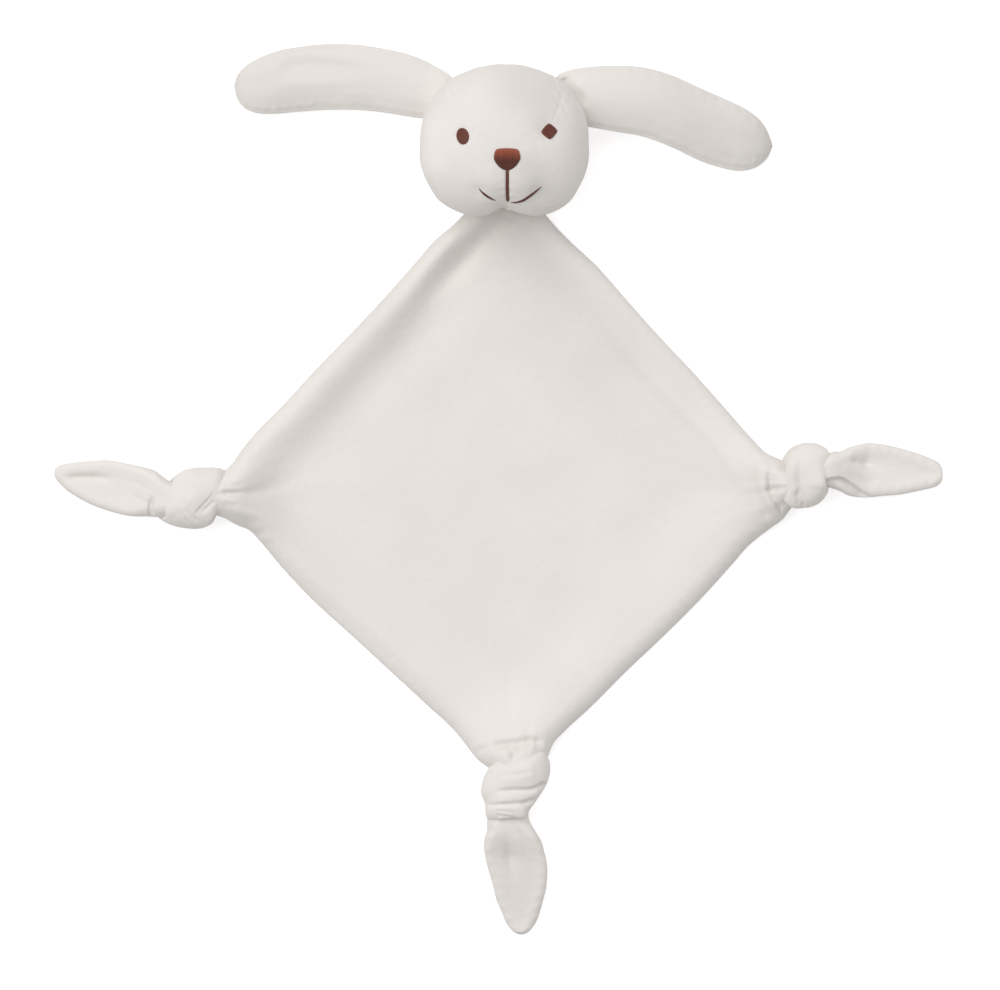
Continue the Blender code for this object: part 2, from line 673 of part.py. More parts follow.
def make_knot(name, middle, way, hand, carrier):
    # The corner's strand: it fans out to the blanket, and is flat at the tail. The broad
    # turn that crosses the knot lies on top; hand says which way it leans.
    reach = knot_reach()
    side_way = np.array([-way[1], way[0], 0.0])
    out_way = np.array([way[0], way[1], 0.0])
    kept = KNOT_PATH[np.abs(KNOT_PATH[:, 0]) * STRAND < reach - 0.3 * MM]
    x = kept[:, 0] * STRAND
    straight = smooth((np.abs(x) - KNOT_HALF * STRAND) / (reach - KNOT_HALF * STRAND))
    across = hand * kept[:, 2] * STRAND * (1 - straight)
    up = strand_height() + kept[:, 1] * STRAND * (1 - straight)
    round_half = (STRAND - STRAND_GAP) / 2
    end_half = np.where(x < 0, STRAND_FAN_WIDTH, STRAND_END_WIDTH) / 2
    width = round_half + (end_half - round_half) * straight
    height = round_half + (STRAND_END_HEIGHT / 2 - round_half) * straight
    # Each end is rounded about its hinge's axis.
    turn = np.radians([0, 25, 50, 72])
    cap = STRAND_END_HEIGHT / 2 * np.sin(turn)
    low = STRAND_END_HEIGHT / 2 * np.cos(turn)
    wide = np.array([1, 0.99, 0.95, 0.88]) / 2
    x = np.concatenate([-(reach + cap)[::-1], x, reach + cap])
    across = np.concatenate([0 * cap, across, 0 * cap])
    up = np.concatenate([strand_height() + 0 * cap, up, strand_height() + 0 * cap])
    fan = STRAND_FAN_WIDTH * wide[::-1]
    width = np.concatenate([fan, width, STRAND_END_WIDTH * wide])
    height = np.concatenate([low[::-1], height, low])
    centres = np.array([middle[0], middle[1], 0.0]) + x[:, None] * out_way
    centres += across[:, None] * side_way
    centres[:, 2] = up
    heading = np.gradient(centres, axis=0)
    heading /= np.linalg.norm(heading, axis=1)[:, None]
    side = np.empty_like(centres)
    side[0] = side_way
    for index in range(1, len(centres)):
        carried = side[index - 1] - heading[index] * (side[index - 1] @ heading[index])
        side[index] = carried / np.linalg.norm(carried)
    rise = np.cross(heading, side)
    # The frame's leftover twist is spread over the knot, so both ends lie flat.
    left_over = math.atan2(side[-1] @ np.array([0, 0, 1.0]), side[-1] @ side_way)
    left_over -= math.pi * round(left_over / math.pi)
    twist = -left_over * smooth(np.linspace(-0.3, 1.3, len(centres)))[:, None]
    turned = side * np.cos(twist) + rise * np.sin(twist)
    rise = np.cross(heading, turned)
    points, faces = tube(centres, turned, rise, width, height, TUBE_SIDES)
    add_piece(name, points, faces, VELOUR, carrier)


def make_tail(name, shares, hinge, way, carrier):
    # The corner's free end: a leaf of both layers that droops to the table.
    out_way = np.array([way[0], way[1]])
    side_way = np.array([-way[1], way[0]])
    start = STRAND_END_HEIGHT / 2 + HINGE_GAP
    table = np.array(shares)
    station = np.linspace(0, 1, TAIL_STATIONS)
    last = table[-1, 0]
    edges = through(table[:, 0] / last, table[:, 1:], station) * TAIL_LENGTH
    along = start + station * (TAIL_LENGTH * last - start)
    part = (np.sin(np.linspace(-0.5, 0.5, TAIL_ACROSS + 1) * math.pi) + 1) / 2
    across = edges[:, 1:2] + (edges[:, 0:1] - edges[:, 1:2]) * part[None, :]
    flat = hinge[:2] + along[:, None, None] * out_way + across[..., None] * side_way
    floor = hinge[2] - CLOTH - GAP / 2
    base = floor * (1 - smooth((along - start) / (0.62 * TAIL_LENGTH)))[:, None]
    cup = TAIL_VALLEY * (2 * part[None, :] - 1) ** 2 * smooth(2.5 * station)[:, None]
    base = base + cup + GAP
    base -= GAP * (1 - smooth(3 * station))[:, None]
    layout = grid_layout(TAIL_STATIONS, TAIL_ACROSS + 1)

    def sheet(height):
        return np.concatenate([flat, height[..., None]], axis=-1).reshape(-1, 3)

    points, faces = between_layers(sheet(base + CLOTH), sheet(base), layout)
    add_piece(name + "_back", points, faces, VELOUR, carrier)
    raised = base + CLOTH + GAP
    points, faces = between_layers(sheet(raised + CLOTH), sheet(raised), layout)
    add_piece(name + "_front", points, faces, VELOUR, carrier)


def make_corner(side, middle, way, hand, shares):
    # Returns what the blanket needs to know: where its cut is, the way out and its height.
    way = np.array(way, dtype=float)
    middle = np.array(middle)
    near = np.array([*(middle - way * knot_reach()), strand_height()])
    far = np.array([*(middle + way * knot_reach()), strand_height()])
    bend = add_carrier(side + "_knot_axis", near)
    tip = add_carrier(side + "_tail_axis", far, bend)
    make_knot(side + "_knot", middle, way, hand, bend)
    make_tail(side + "_tail", shares, far, way, tip)
    print(side, "knot axis", near.round(5).tolist(), "tail axis", far.round(5).tolist())
    cut = near[:2] + way * -(STRAND_END_HEIGHT / 2 + HINGE_GAP)
    return cut, way, strand_height()


clear_scene()
COLLECTION = make_collection()
VELOUR = make_material("cream_velour", (0.762, 0.723, 0.686), 0.9)
FIBRE = make_material("white_fibre", (0.85, 0.85, 0.84), 0.95)
BROWN = make_material("brown_thread", (0.155, 0.054, 0.030), 0.55)
KNOT_PATH = pull_tight()
KNOT_HALF = knot_half(KNOT_PATH)

neck = neck_axis()
head = add_carrier("head_axis", neck)
print("neck axis", neck.round(5).tolist())
make_head_panels(head)
make_head_filling(head)
make_neck_gather(head)
make_face(head)

left_high = np.array([-21.0 * MM, 162.4 * MM, EAR_ROOT_HEIGHT])
left_low = np.array([-32.6 * MM, 145.6 * MM, EAR_ROOT_HEIGHT])
right_high = np.array([20.2 * MM, 163.2 * MM, EAR_ROOT_HEIGHT])
right_low = np.array([31.8 * MM, 142.8 * MM, EAR_ROOT_HEIGHT])
for side, shares, sign, high, low in (
    ("left", LEFT_EAR_SHARES, -1, left_high, left_low),
    ("right", RIGHT_EAR_SHARES, 1, right_high, right_low),
):
    place, along = ear_frame(high, low)
    print(side, "ear axis", place.round(5).tolist(), "along", along.round(4).tolist())
    root = add_carrier(side + "_ear_axis", place, head)
    make_ear(side, shares, place, sign, root)

ends = [
    make_corner("left", (-LEFT_KNOT_REACH, LEFT_KNOT_SHIFT), (-1, 0), 1, LEFT_TAIL_SHARES),
    make_corner("right", (RIGHT_KNOT_REACH, RIGHT_KNOT_SHIFT), (1, 0), -1, RIGHT_TAIL_SHARES),
    make_corner("foot", (FOOT_KNOT_SHIFT, -FOOT_KNOT_REACH), (0, -1), -1, FOOT_TAIL_SHARES),
]
neck_cut = neck[:2] + np.array([0, -1]) * (NECK_RADIUS + HINGE_GAP)
ends.append((neck_cut, np.array([0.0, 1.0]), neck[2]))
make_blanket(ends)
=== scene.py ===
# %% [markdown]
# # A comfort blanket with a rabbit's head
# The real thing is a small double square of cream velour. Three of its corners are tied in
# overhand knots, and the fourth is gathered and sewn under the chin of a stuffed head. It lies
# face up on a table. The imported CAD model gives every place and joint, and each soft solid in
# it is dressed here in a surface worked out with numpy.

# %% Load the frame
import math

import bmesh
import bpy
import numpy as np
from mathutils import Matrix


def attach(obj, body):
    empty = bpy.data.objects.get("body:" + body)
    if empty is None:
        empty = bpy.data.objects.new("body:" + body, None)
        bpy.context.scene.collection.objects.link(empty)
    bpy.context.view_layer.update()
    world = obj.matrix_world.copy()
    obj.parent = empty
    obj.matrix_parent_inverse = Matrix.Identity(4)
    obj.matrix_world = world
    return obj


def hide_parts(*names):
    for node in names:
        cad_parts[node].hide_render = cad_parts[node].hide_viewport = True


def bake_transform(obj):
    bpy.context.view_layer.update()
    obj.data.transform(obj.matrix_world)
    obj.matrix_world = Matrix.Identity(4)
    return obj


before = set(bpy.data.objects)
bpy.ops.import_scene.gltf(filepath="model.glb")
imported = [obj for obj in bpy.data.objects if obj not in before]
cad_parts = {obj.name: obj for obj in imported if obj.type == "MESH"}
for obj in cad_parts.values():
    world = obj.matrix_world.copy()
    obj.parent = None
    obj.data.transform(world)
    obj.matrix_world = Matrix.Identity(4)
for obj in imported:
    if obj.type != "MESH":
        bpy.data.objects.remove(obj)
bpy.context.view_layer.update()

MM = 0.001

# %% [markdown]
# ## Small tools
# Every piece is a grid of points that a formula moves about, so three helpers do most of the
# work: an S-curve for soft starts and ends, a bell curve for dents and ridges, and a line through
# given points. A fourth one turns finished arrays into a mesh.

# %% Curves
def smooth(value):
    """0 below 0 and 1 above 1, with the S-curve 3 v squared minus 2 v cubed between."""
    value = np.clip(value, 0, 1)
    return value * value * (3 - 2 * value)


def bell(distance, width):
    """1 in the middle, e to the minus (distance over width) squared away from it."""
    return np.exp(-((distance / width) ** 2))


def through(stations, table, places):
    """A smooth line through the table's rows: between two rows it is the cubic that has the
    rows' values and their mean slopes."""
    stations, table = np.asarray(stations, float), np.asarray(table, float)
    slopes = np.gradient(table, stations, axis=0)
    index = np.clip(np.searchsorted(stations, places) - 1, 0, len(stations) - 2)
    width = (stations[index + 1] - stations[index])[:, None]
    part = (places - stations[index])[:, None] / width
    first = table[index] * (1 + 2 * part) * (1 - part) ** 2
    first += slopes[index] * width * part * (1 - part) ** 2
    second = table[index + 1] * part**2 * (3 - 2 * part)
    return first + second - slopes[index + 1] * width * part**2 * (1 - part)


def by_length(points, shares):
    """Points on the smooth line through these points, at shares of its length."""
    points = np.asarray(points, float)
    chord = np.linalg.norm(np.diff(points, axis=0), axis=1)
    stations = np.concatenate([[0], np.cumsum(chord)]) / chord.sum()
    return through(stations, points, shares)


# %% Meshes
def quads(rows, columns, wrap=True):
    """Corners of the faces of a grid, row by row; wrap joins the last column to the first."""
    last = columns if wrap else columns - 1
    row, column = np.meshgrid(np.arange(rows - 1), np.arange(last), indexing="ij")
    first = row * columns + column
    after = row * columns + (column + 1) % columns
    return np.stack([first, after, after + columns, first + columns], axis=-1).reshape(-1, 4)


def make_piece(name, points, *faces):
    """A smooth object from an array of points and arrays of faces. The faces turn outwards: if
    the volume under them comes out negative, their corners are read backwards."""
    points = np.asarray(points, float).reshape(-1, 3)
    volume = 0.0
    for part in faces:
        for index in range(1, part.shape[1] - 1):
            corners = points[part[:, [0, index, index + 1]]]
            volume += np.linalg.det(corners - points.mean(axis=0)).sum() / 6
    if volume < 0:
        faces = [part[:, ::-1] for part in faces]
    sizes = np.concatenate([np.full(len(part), part.shape[1]) for part in faces])
    mesh = bpy.data.meshes.new(name)
    mesh.vertices.add(len(points))
    mesh.vertices.foreach_set("co", points.astype(np.float32).ravel())
    mesh.loops.add(sizes.sum())
    mesh.loops.foreach_set("vertex_index", np.concatenate([part.ravel() for part in faces]))
    mesh.polygons.add(len(sizes))
    mesh.polygons.foreach_set("loop_start", np.cumsum(sizes) - sizes)
    mesh.update(calc_edges=True)
    mesh.validate()
    mesh.shade_smooth()
    piece = bpy.data.objects.new(name, mesh)
    bpy.context.scene.collection.objects.link(piece)
    return piece


def closed_tube(name, rings):
    """Rings of points, each joined to the next, with a pole in the middle of each end ring."""
    rows, columns = rings.shape[:2]
    poles = np.stack([rings[0].mean(axis=0), rings[-1].mean(axis=0)])
    points = np.concatenate([rings.reshape(-1, 3), poles])
    column = np.arange(columns)
    after = (column + 1) % columns
    low = np.stack([after, column, np.full(columns, rows * columns)], axis=1)
    high = np.stack([column, after, np.full(columns, rows * columns + 1)], axis=1)
    high[:, :2] += (rows - 1) * columns
    return make_piece(name, points, quads(rows, columns), low, high)


def apply_modifiers(piece):
    """Gives the piece a mesh of its own with its modifiers worked in."""
    graph = bpy.context.evaluated_depsgraph_get()
    mesh = bpy.data.meshes.new_from_object(piece.evaluated_get(graph))
    piece.modifiers.clear()
    piece.data = mesh
    mesh.shade_smooth()


# %% [markdown]
# ## Camera, floor and light
# The photograph looks straight down at a toy on white paper, with a large soft lamp at the
# upper left and a weak reflector at the right. The camera is far away with a long lens, so
# that what stands 50 mm high hardly leans outwards. The paper is a plain diffuse floor. For
# rays that the camera or a shiny surface sends, it glows a little as well, so that it comes
# out white where nothing shades it and still keeps the toy's shadow.

# %% Camera
VIEW_WIDTH = 400 * MM
LENS = 1200.0
SENSOR = 36.0
VIEW_MIDDLE = (-2.2 * MM, -4.4 * MM)

camera = bpy.data.objects.new("camera", bpy.data.cameras.new("camera"))
bpy.context.scene.collection.objects.link(camera)
camera.data.lens = LENS
camera.data.sensor_width = SENSOR
camera.location = (*VIEW_MIDDLE, VIEW_WIDTH * LENS / SENSOR)
camera.data.clip_end = 20
bpy.context.scene.camera = camera
bpy.context.scene.view_settings.view_transform = "Standard"
print("camera height in m:", round(camera.location.z, 3))


# %% Colours and nodes
def linear(hex_colour):
    """An sRGB hex colour as the linear values that Blender's sockets take."""
    share = np.array([int(hex_colour[at:at + 2], 16) for at in (1, 3, 5)]) / 255
    value = np.where(share <= 0.04045, share / 12.92, ((share + 0.055) / 1.055) ** 2.4)
    return (*value.tolist(), 1.0)


def add_node(tree, kind, settings=(), links=()):
    """One node: settings are names of its properties or sockets with their values, and links
    are names of its input sockets with the output that feeds each."""
    node = tree.nodes.new(kind)
    for name, value in dict(settings).items():
        if hasattr(node, name):
            setattr(node, name, value)
        else:
            node.inputs[name].default_value = value
    for name, source in dict(links).items():
        tree.links.new(source, node.inputs[name])
    return node


def new_material(name):
    """An empty material's node tree, and its Principled shader."""
    material = bpy.data.materials.new(name)
    material.use_nodes = True
    return material, material.node_tree, material.node_tree.nodes["Principled BSDF"]


# %% White paper and the world
SKY_LEVEL = 0.445
PAPER_GLOW = 0.62
PAPER_HALF = 3.0

material, tree, shader = new_material("white_paper")
shader.inputs["Base Color"].default_value = linear("#E6E6E6")
shader.inputs["Roughness"].default_value = 0.9
shader.inputs["Specular IOR Level"].default_value = 0.1
shader.inputs["Emission Color"].default_value = (1, 1, 1, 1)
path = add_node(tree, "ShaderNodeLightPath")
seen = add_node(tree, "ShaderNodeMath", {"operation": "MAXIMUM"})
tree.links.new(path.outputs["Is Camera Ray"], seen.inputs[0])
tree.links.new(path.outputs["Is Glossy Ray"], seen.inputs[1])
glow = add_node(tree, "ShaderNodeMath", {"operation": "MULTIPLY"})
tree.links.new(seen.outputs[0], glow.inputs[0])
glow.inputs[1].default_value = PAPER_GLOW
tree.links.new(glow.outputs[0], shader.inputs["Emission Strength"])

corners = np.array([[-1, -1, 0], [1, -1, 0], [1, 1, 0], [-1, 1, 0]]) * PAPER_HALF
floor = make_piece("paper", corners, np.array([[0, 1, 2, 3]]))
floor.data.materials.append(material)

world = bpy.data.worlds.new("studio")
world.use_nodes = True
bpy.context.scene.world = world
tree = world.node_tree
path = add_node(tree, "ShaderNodeLightPath")
around = tree.nodes["Background"]
around.inputs["Color"].default_value = linear("#FFFFFF")
around.inputs["Strength"].default_value = SKY_LEVEL
white = add_node(tree, "ShaderNodeBackground", {"Color": (1, 1, 1, 1), "Strength": 1.0})
choice = add_node(tree, "ShaderNodeMixShader")
tree.links.new(path.outputs["Is Camera Ray"], choice.inputs["Fac"])
tree.links.new(around.outputs[0], choice.inputs[1])
tree.links.new(white.outputs[0], choice.inputs[2])
tree.links.new(choice.outputs[0], tree.nodes["World Output"].inputs["Surface"])
print("paper in m:", 2 * PAPER_HALF, "sky:", SKY_LEVEL, "glow of the paper:", PAPER_GLOW)


# %% Lamps
def add_lamp(name, where, size, power):
    """A square soft lamp at a point, turned towards the origin."""
    lamp = bpy.data.objects.new(name, bpy.data.lights.new(name, "AREA"))
    bpy.context.scene.collection.objects.link(lamp)
    lamp.data.size = size
    lamp.data.energy = power
    lamp.location = where
    lamp.rotation_euler = (-lamp.location).to_track_quat("-Z", "Y").to_euler()
    print(name, "side in m:", size, "power in W:", power)


add_lamp("window_lamp", (-2.05, 1.6, 4.3), 4.4, 175)
add_lamp("reflector", (3.2, 1.6, 1.9), 2.5, 23)

# %% [markdown]
# ## Velour
# The cloth is a polyester velour: a knit whose short pile, about a millimetre high, was sheared
# even. To the eye it is a warm off-white without any weave, matt from above and paler along
# edges, where light catches the tips of the pile: that is the sheen. Where the pile leans another
# way the cream changes a little, in soft patches a few centimetres wide. Along strokes given in a
# table the cream is darkened or lightened: mostly painted shade where shade falls and painted
# highlight where light falls, and in two strokes only darker. Those strokes are an attribute of
# each piece's points, which the material reads. Single fibres are far too fine to show, so the
# bump is tufts of about 0.8 mm.

# %% Velour material
PILE_TUFT = 0.8 * MM
PILE_CLUMP = 3.2 * MM
NAP_PATCH = 26 * MM
PAINTED_SHADE_STRENGTH = 0.16

velour, tree, shader = new_material("sheared_velour")
place = add_node(tree, "ShaderNodeTexCoord").outputs["Object"]
patch = add_node(tree, "ShaderNodeTexNoise", {"Scale": 1 / NAP_PATCH, "Detail": 1.0},
                 {"Vector": place})
tuft = add_node(tree, "ShaderNodeTexNoise", {"Scale": 1 / PILE_TUFT, "Detail": 2.0},
                {"Vector": place})
clump = add_node(tree, "ShaderNodeTexNoise", {"Scale": 1 / PILE_CLUMP, "Detail": 1.0},
                 {"Vector": place})
both = add_node(tree, "ShaderNodeMath", {"operation": "MULTIPLY_ADD"})
tree.links.new(tuft.outputs["Fac"], both.inputs[0])
both.inputs[1].default_value = 0.5
tree.links.new(clump.outputs["Fac"], both.inputs[2])
shade = add_node(tree, "ShaderNodeMath", {"operation": "MULTIPLY_ADD"})
tree.links.new(both.outputs[0], shade.inputs[0])
shade.inputs[1].default_value = 0.25
tree.links.new(patch.outputs["Fac"], shade.inputs[2])
cream = add_node(tree, "ShaderNodeValToRGB", (), {"Fac": shade.outputs[0]})
cream.color_ramp.elements[0].position = 0.45
cream.color_ramp.elements[0].color = linear("#E5E0DB")
cream.color_ramp.elements[1].position = 0.95
cream.color_ramp.elements[1].color = linear("#E9E4DF")
# Painted shade and highlight: each point's value darkens the cream above 0 and lightens it below
# 0.
painted_shade_node = add_node(tree, "ShaderNodeAttribute", {"attribute_name": "painted_shade"})
darker = add_node(tree, "ShaderNodeMath", {"operation": "MULTIPLY_ADD"})
tree.links.new(painted_shade_node.outputs["Fac"], darker.inputs[0])
darker.inputs[1].default_value = -PAINTED_SHADE_STRENGTH
darker.inputs[2].default_value = 1.0
cream = add_node(tree, "ShaderNodeVectorMath", {"operation": "SCALE"},
                 {"Vector": cream.outputs["Color"], "Scale": darker.outputs[0]})
bump = add_node(tree, "ShaderNodeBump", {"Strength": 0.45, "Distance": 0.4 * MM},
                {"Height": both.outputs[0]})
tree.links.new(cream.outputs["Vector"], shader.inputs["Base Color"])
tree.links.new(bump.outputs["Normal"], shader.inputs["Normal"])
shader.inputs["Roughness"].default_value = 0.92
shader.inputs["Specular IOR Level"].default_value = 0.2
shader.inputs["Sheen Weight"].default_value = 0.3
shader.inputs["Sheen Roughness"].default_value = 0.45
shader.inputs["Sheen Tint"].default_value = linear("#FFFAF6")
print("materials so far:", [found.name for found in bpy.data.materials])

# %% Strokes of painted shade and highlight
LINE_STEPS = 90


def stroke(x, y, points, width, start, end):
    """1 on a line through points given in mm, as seen from above, and a bell across it. It
    fades in and out over the given shares of the line's length."""
    line = by_length(np.array(points) * MM, np.linspace(0, 1, LINE_STEPS))
    offset = np.stack([x, y], axis=-1).reshape(-1, 2)[:, None] - line[None]
    far = np.sqrt((offset**2).sum(axis=-1))
    part = far.argmin(axis=1) / (len(line) - 1)
    fade = smooth(part / start) * smooth((1 - part) / end)
    return (fade * bell(far.min(axis=1), width * MM)).reshape(x.shape)


# Each stroke: how much it darkens the cream as painted shade (below 0, how much it lightens it as
# painted highlight), the stroke's width in mm, the shares of its line over which it fades in and
# out, and the line, in mm on the table.
PAINTED_SHADE_STROKES = [
    # Painted shade on both ears, the forehead, the chin's right side and a band inside the upper
    # left edge; painted highlight on the head's left rim, the right tail and the crease where the
    # foot knot meets its tail. The band inside the upper right edge and the foot tail are only
    # made darker.
    (0.45, 18.0, 0.1, 0.02, [(-27, 157), (-60, 163), (-114, 160)]),
    (0.75, 14.0, 0.6, 0.02, [(44, 153), (72, 148), (92, 140), (112, 134)]),
    (0.7, 10.0, 0.5, 0.3, [(-14, 160), (2, 157), (12, 153), (24, 145)]),
    (-0.35, 6.0, 0.3, 0.3, [(-27, 151), (-31, 137), (-26, 119)]),
    (-0.3, 14.0, 0.2, 0.05, [(132, 3), (150, 3), (176, 3)]),
    (0.9, 7.0, 0.3, 0.3, [(4, 132), (9, 126), (11, 118), (12, 110)]),
    (0.3, 7.0, 0.3, 0.3, [(-85, 20), (-50, 58), (-24, 86)]),
    (0.35, 20.0, 0.3, 0.4, [(-14, 92), (14, 74), (40, 52), (66, 26)]),
    (0.3, 11.0, 0.3, 0.2, [(4, -140), (5, -152), (7, -180)]),
    (-0.7, 5.0, 0.1, 0.1, [(-6, -137), (4, -139), (12, -137)]),
]
print("strokes of the nap:", len(PAINTED_SHADE_STROKES))


def dress(piece, material, slot, body=None, *nodes):
    """Gives a piece its material, its body, and the CAD nodes that it stands for; the slot is not
    used. The velour also gets its painted shade and highlight: above 0 its cream is darkened,
    mostly as painted shade, and below 0 it is lightened as painted highlight."""
    piece.data.materials.clear()
    piece.data.materials.append(material)
    if nodes:
        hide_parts(*nodes)
    if body:
        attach(piece, body)
    if material is velour:
        points = np.empty(len(piece.data.vertices) * 3, np.float32)
        piece.data.vertices.foreach_get("co", points)
        points = points.reshape(-1, 3).astype(float)
        painted_shade = np.zeros(len(points))
        for amount, width, start, end, line in PAINTED_SHADE_STROKES:
            # Past twice its width a stroke is too faint to see.
            low, high = np.min(line, axis=0) - 2 * width, np.max(line, axis=0) + 2 * width
            near = ((points[:, :2] > low * MM) & (points[:, :2] < high * MM)).all(axis=1)
            x, y = points[near, 0], points[near, 1]
            painted_shade[near] += amount * stroke(x, y, line, width, start, end)
        kept = piece.data.attributes.new("painted_shade", "FLOAT", "POINT")
        kept.data.foreach_set("value", painted_shade.astype(np.float32))
    faces = len(piece.data.polygons)
    print(piece.name, "faces:", faces, "rides on:", body or "a blend")


# %% [markdown]
# ## The blanket's outline
# Flat on the table, the knotted square is a diamond with slightly hollow sides. The sides are
# lines through points measured on the photograph, in millimetres. Each ends inside a knot, or
# inside the head, where the gathered corner disappears. The cloth between the four sides is a
# Coons patch, the surface that a draughtsman gets by sliding each side towards the opposite
# one. Its two parameters run along the threads, as they do on the real square.

# %% Outline
SIDES = {
    "left_top": [(-122.5, -4.6), (-120.8, 0.2), (-116.6, 3.8), (-111.8, 6.0), (-104.6, 15.0),
                 (-99.8, 20.8), (-90.2, 30.4), (-77.0, 44.8), (-63.0, 59.2), (-49.4, 73.6),
                 (-36.6, 88.0), (-28.2, 97.6), (-20.6, 104.0), (-17.2, 107.4), (-12.5, 111.5),
                 (-7.0, 114.8), (-0.8, 117.0)],
    "top_right": [(-0.8, 117.0), (6.0, 114.8), (11.8, 111.5), (16.4, 107.4), (19.2, 104.0),
                  (25.4, 97.6), (35.8, 88.0), (48.6, 73.6), (61.4, 59.2), (75.0, 44.8),
                  (87.8, 30.4), (96.2, 20.8), (100.6, 16.0), (103.8, 12.8), (106.8, 11.2),
                  (110.2, 9.8), (115.6, 7.6), (120.8, 4.2), (122.8, -0.4)],
    "bottom_right": [(4.8, -122.5), (11.0, -120.0), (14.9, -115.4), (16.4, -111.0),
                     (17.6, -107.5), (19.4, -103.5), (24.2, -98.4), (33.8, -89.6), (48.2, -75.2),
                     (63.4, -60.8), (77.8, -46.4), (90.2, -32.8), (97.6, -24.4), (103.2, -19.8),
                     (106.8, -17.2), (110.4, -14.6), (115.0, -9.0), (120.4, -5.4),
                     (122.8, -0.4)],
    "left_bottom": [(-122.5, -4.6), (-121.0, -9.2), (-117.2, -11.8), (-112.2, -13.8),
                    (-107.5, -16.4), (-102.4, -18.6), (-98.0, -23.2), (-91.4, -31.2),
                    (-77.4, -46.2), (-61.4, -60.8), (-45.8, -75.2), (-30.2, -89.6),
                    (-20.6, -98.6), (-16.6, -103.4), (-13.6, -107.4), (-10.8, -110.6),
                    (-5.6, -114.4), (-1.0, -119.4), (4.8, -122.5)],
}
ROLL_REACH = 7.0 * MM
CLOTH_STEP = 0.95 * MM
SIDE_LENGTH = 176 * MM


def cloth_shares(length):
    """Places across the cloth, as shares of its length: even in the middle, and over each
    rolled edge spaced as 1 minus cosine, so that the rows climb round the roll."""
    turn = np.radians([0, 9, 20, 32, 44, 56, 68, 80, 90])
    edge = ROLL_REACH * (1 - np.cos(turn)) / length
    middle = np.linspace(edge[-1], 1 - edge[-1], int((length - 2 * ROLL_REACH) / CLOTH_STEP))
    return np.concatenate([edge[:-1], middle, (1 - edge[:-1])[::-1]])


across_cloth = cloth_shares(SIDE_LENGTH)
left_top, top_right, bottom_right, left_bottom = (
    by_length(np.array(SIDES[side]) * MM, across_cloth)
    for side in ("left_top", "top_right", "bottom_right", "left_bottom"))
u, v = np.meshgrid(across_cloth, across_cloth, indexing="ij")
flat = (1 - v)[..., None] * left_bottom[:, None] + v[..., None] * top_right[:, None]
flat += (1 - u)[..., None] * left_top[None] + u[..., None] * bottom_right[None]
flat -= ((1 - u) * (1 - v))[..., None] * left_top[0] + (u * v)[..., None] * top_right[-1]
flat -= (u * (1 - v))[..., None] * bottom_right[0] + ((1 - u) * v)[..., None] * top_right[0]
print("cloth grid:", flat.shape, "box in mm:", np.ptp(flat.reshape(-1, 2), axis=0).round(4) / MM)

# %% Distance to the edge
outline = np.concatenate([left_top, top_right[1:], bottom_right[-2::-1], left_bottom[-2:0:-1]])


def distance_to(line, points):
    """How far each point lies from a row of close points, a block of points at a time."""
    found = [
        np.sqrt(((block[:, None] - line[None]) ** 2).sum(axis=-1).min(axis=1))
        for block in np.array_split(points.reshape(-1, 2), 60)
    ]
    return np.concatenate(found).reshape(points.shape[:-1])


fine_sides = [by_length(np.array(side) * MM, np.linspace(0, 1, 400)) for side in SIDES.values()]
inside = distance_to(np.concatenate(fine_sides), flat)
border = (u == 0) | (u == 1) | (v == 0) | (v == 1)
inside[border] = 0
print("deepest point of the cloth in mm:", round(inside.max() / MM, 1))

# %% [markdown]
# ## The blanket's height
# Two layers of velour are sewn face to face, turned, and left a little baggy. The seam allowance
# inside stiffens the edge. At the upper left it stands up as a soft roll with a valley behind
# it, at the lower right it lies low with its seam tucked under, and the middle sinks to the
# table. Towards each knot and the neck the cloth climbs and is gathered, and it is pushed
# together in folds round the knots. All of that is one height above the table, added up from
# S-curves and bells, so that nothing has to be cut or joined.

# %% Height of the upper layer
LAYERS = 3.9 * MM
SEAM_HEIGHT = 2.3 * MM
SEAM_TUCK = 1.7 * MM
ROLL_HIGH = 5.6 * MM
ROLL_LOW = 1.8 * MM
ROLL_TUCKED = 2.2 * MM
ROLL_WIDTH = 9.5 * MM
SIDES_APART = 105 * MM
VALLEY_DEPTH = 0.6 * MM
VALLEY_INSIDE = 23 * MM
VALLEY_WIDTH = 9 * MM
RAMP = 18.0 * MM
NECK_RAMP = 20.0 * MM
STRAND_HEIGHT = 13.02 * MM
NECK_HEIGHT = 5.032 * MM
# Where the cloth is gathered: the place on the table in mm, how far the ramp to it reaches, and
# the height of its top.
ENDS = {
    "left_knot": ((-115.0, -5.0), RAMP, STRAND_HEIGHT),
    "right_knot": ((115.0, 3.0), RAMP, STRAND_HEIGHT),
    "foot_knot": ((4.8, -113.0), RAMP, STRAND_HEIGHT),
    "head": ((-0.8, 114.0), NECK_RAMP, NECK_HEIGHT),
}
ROUND_KNOT = 4.0 * MM
BULK = 2.8 * MM
BULK_REACH = 0.6
CLIMB_SHARE = 0.85
x, y = flat[..., 0], flat[..., 1]

climb = np.zeros(x.shape)
bulk = np.zeros(x.shape)
for (end_x, end_y), ramp, height in ENDS.values():
    short_of = np.maximum(np.hypot(x - end_x * MM, y - end_y * MM) - ROUND_KNOT, 0)
    climb += CLIMB_SHARE * (height - LAYERS / 2) * bell(short_of, ramp)
    bulk += bell(short_of, BULK_REACH * ramp)

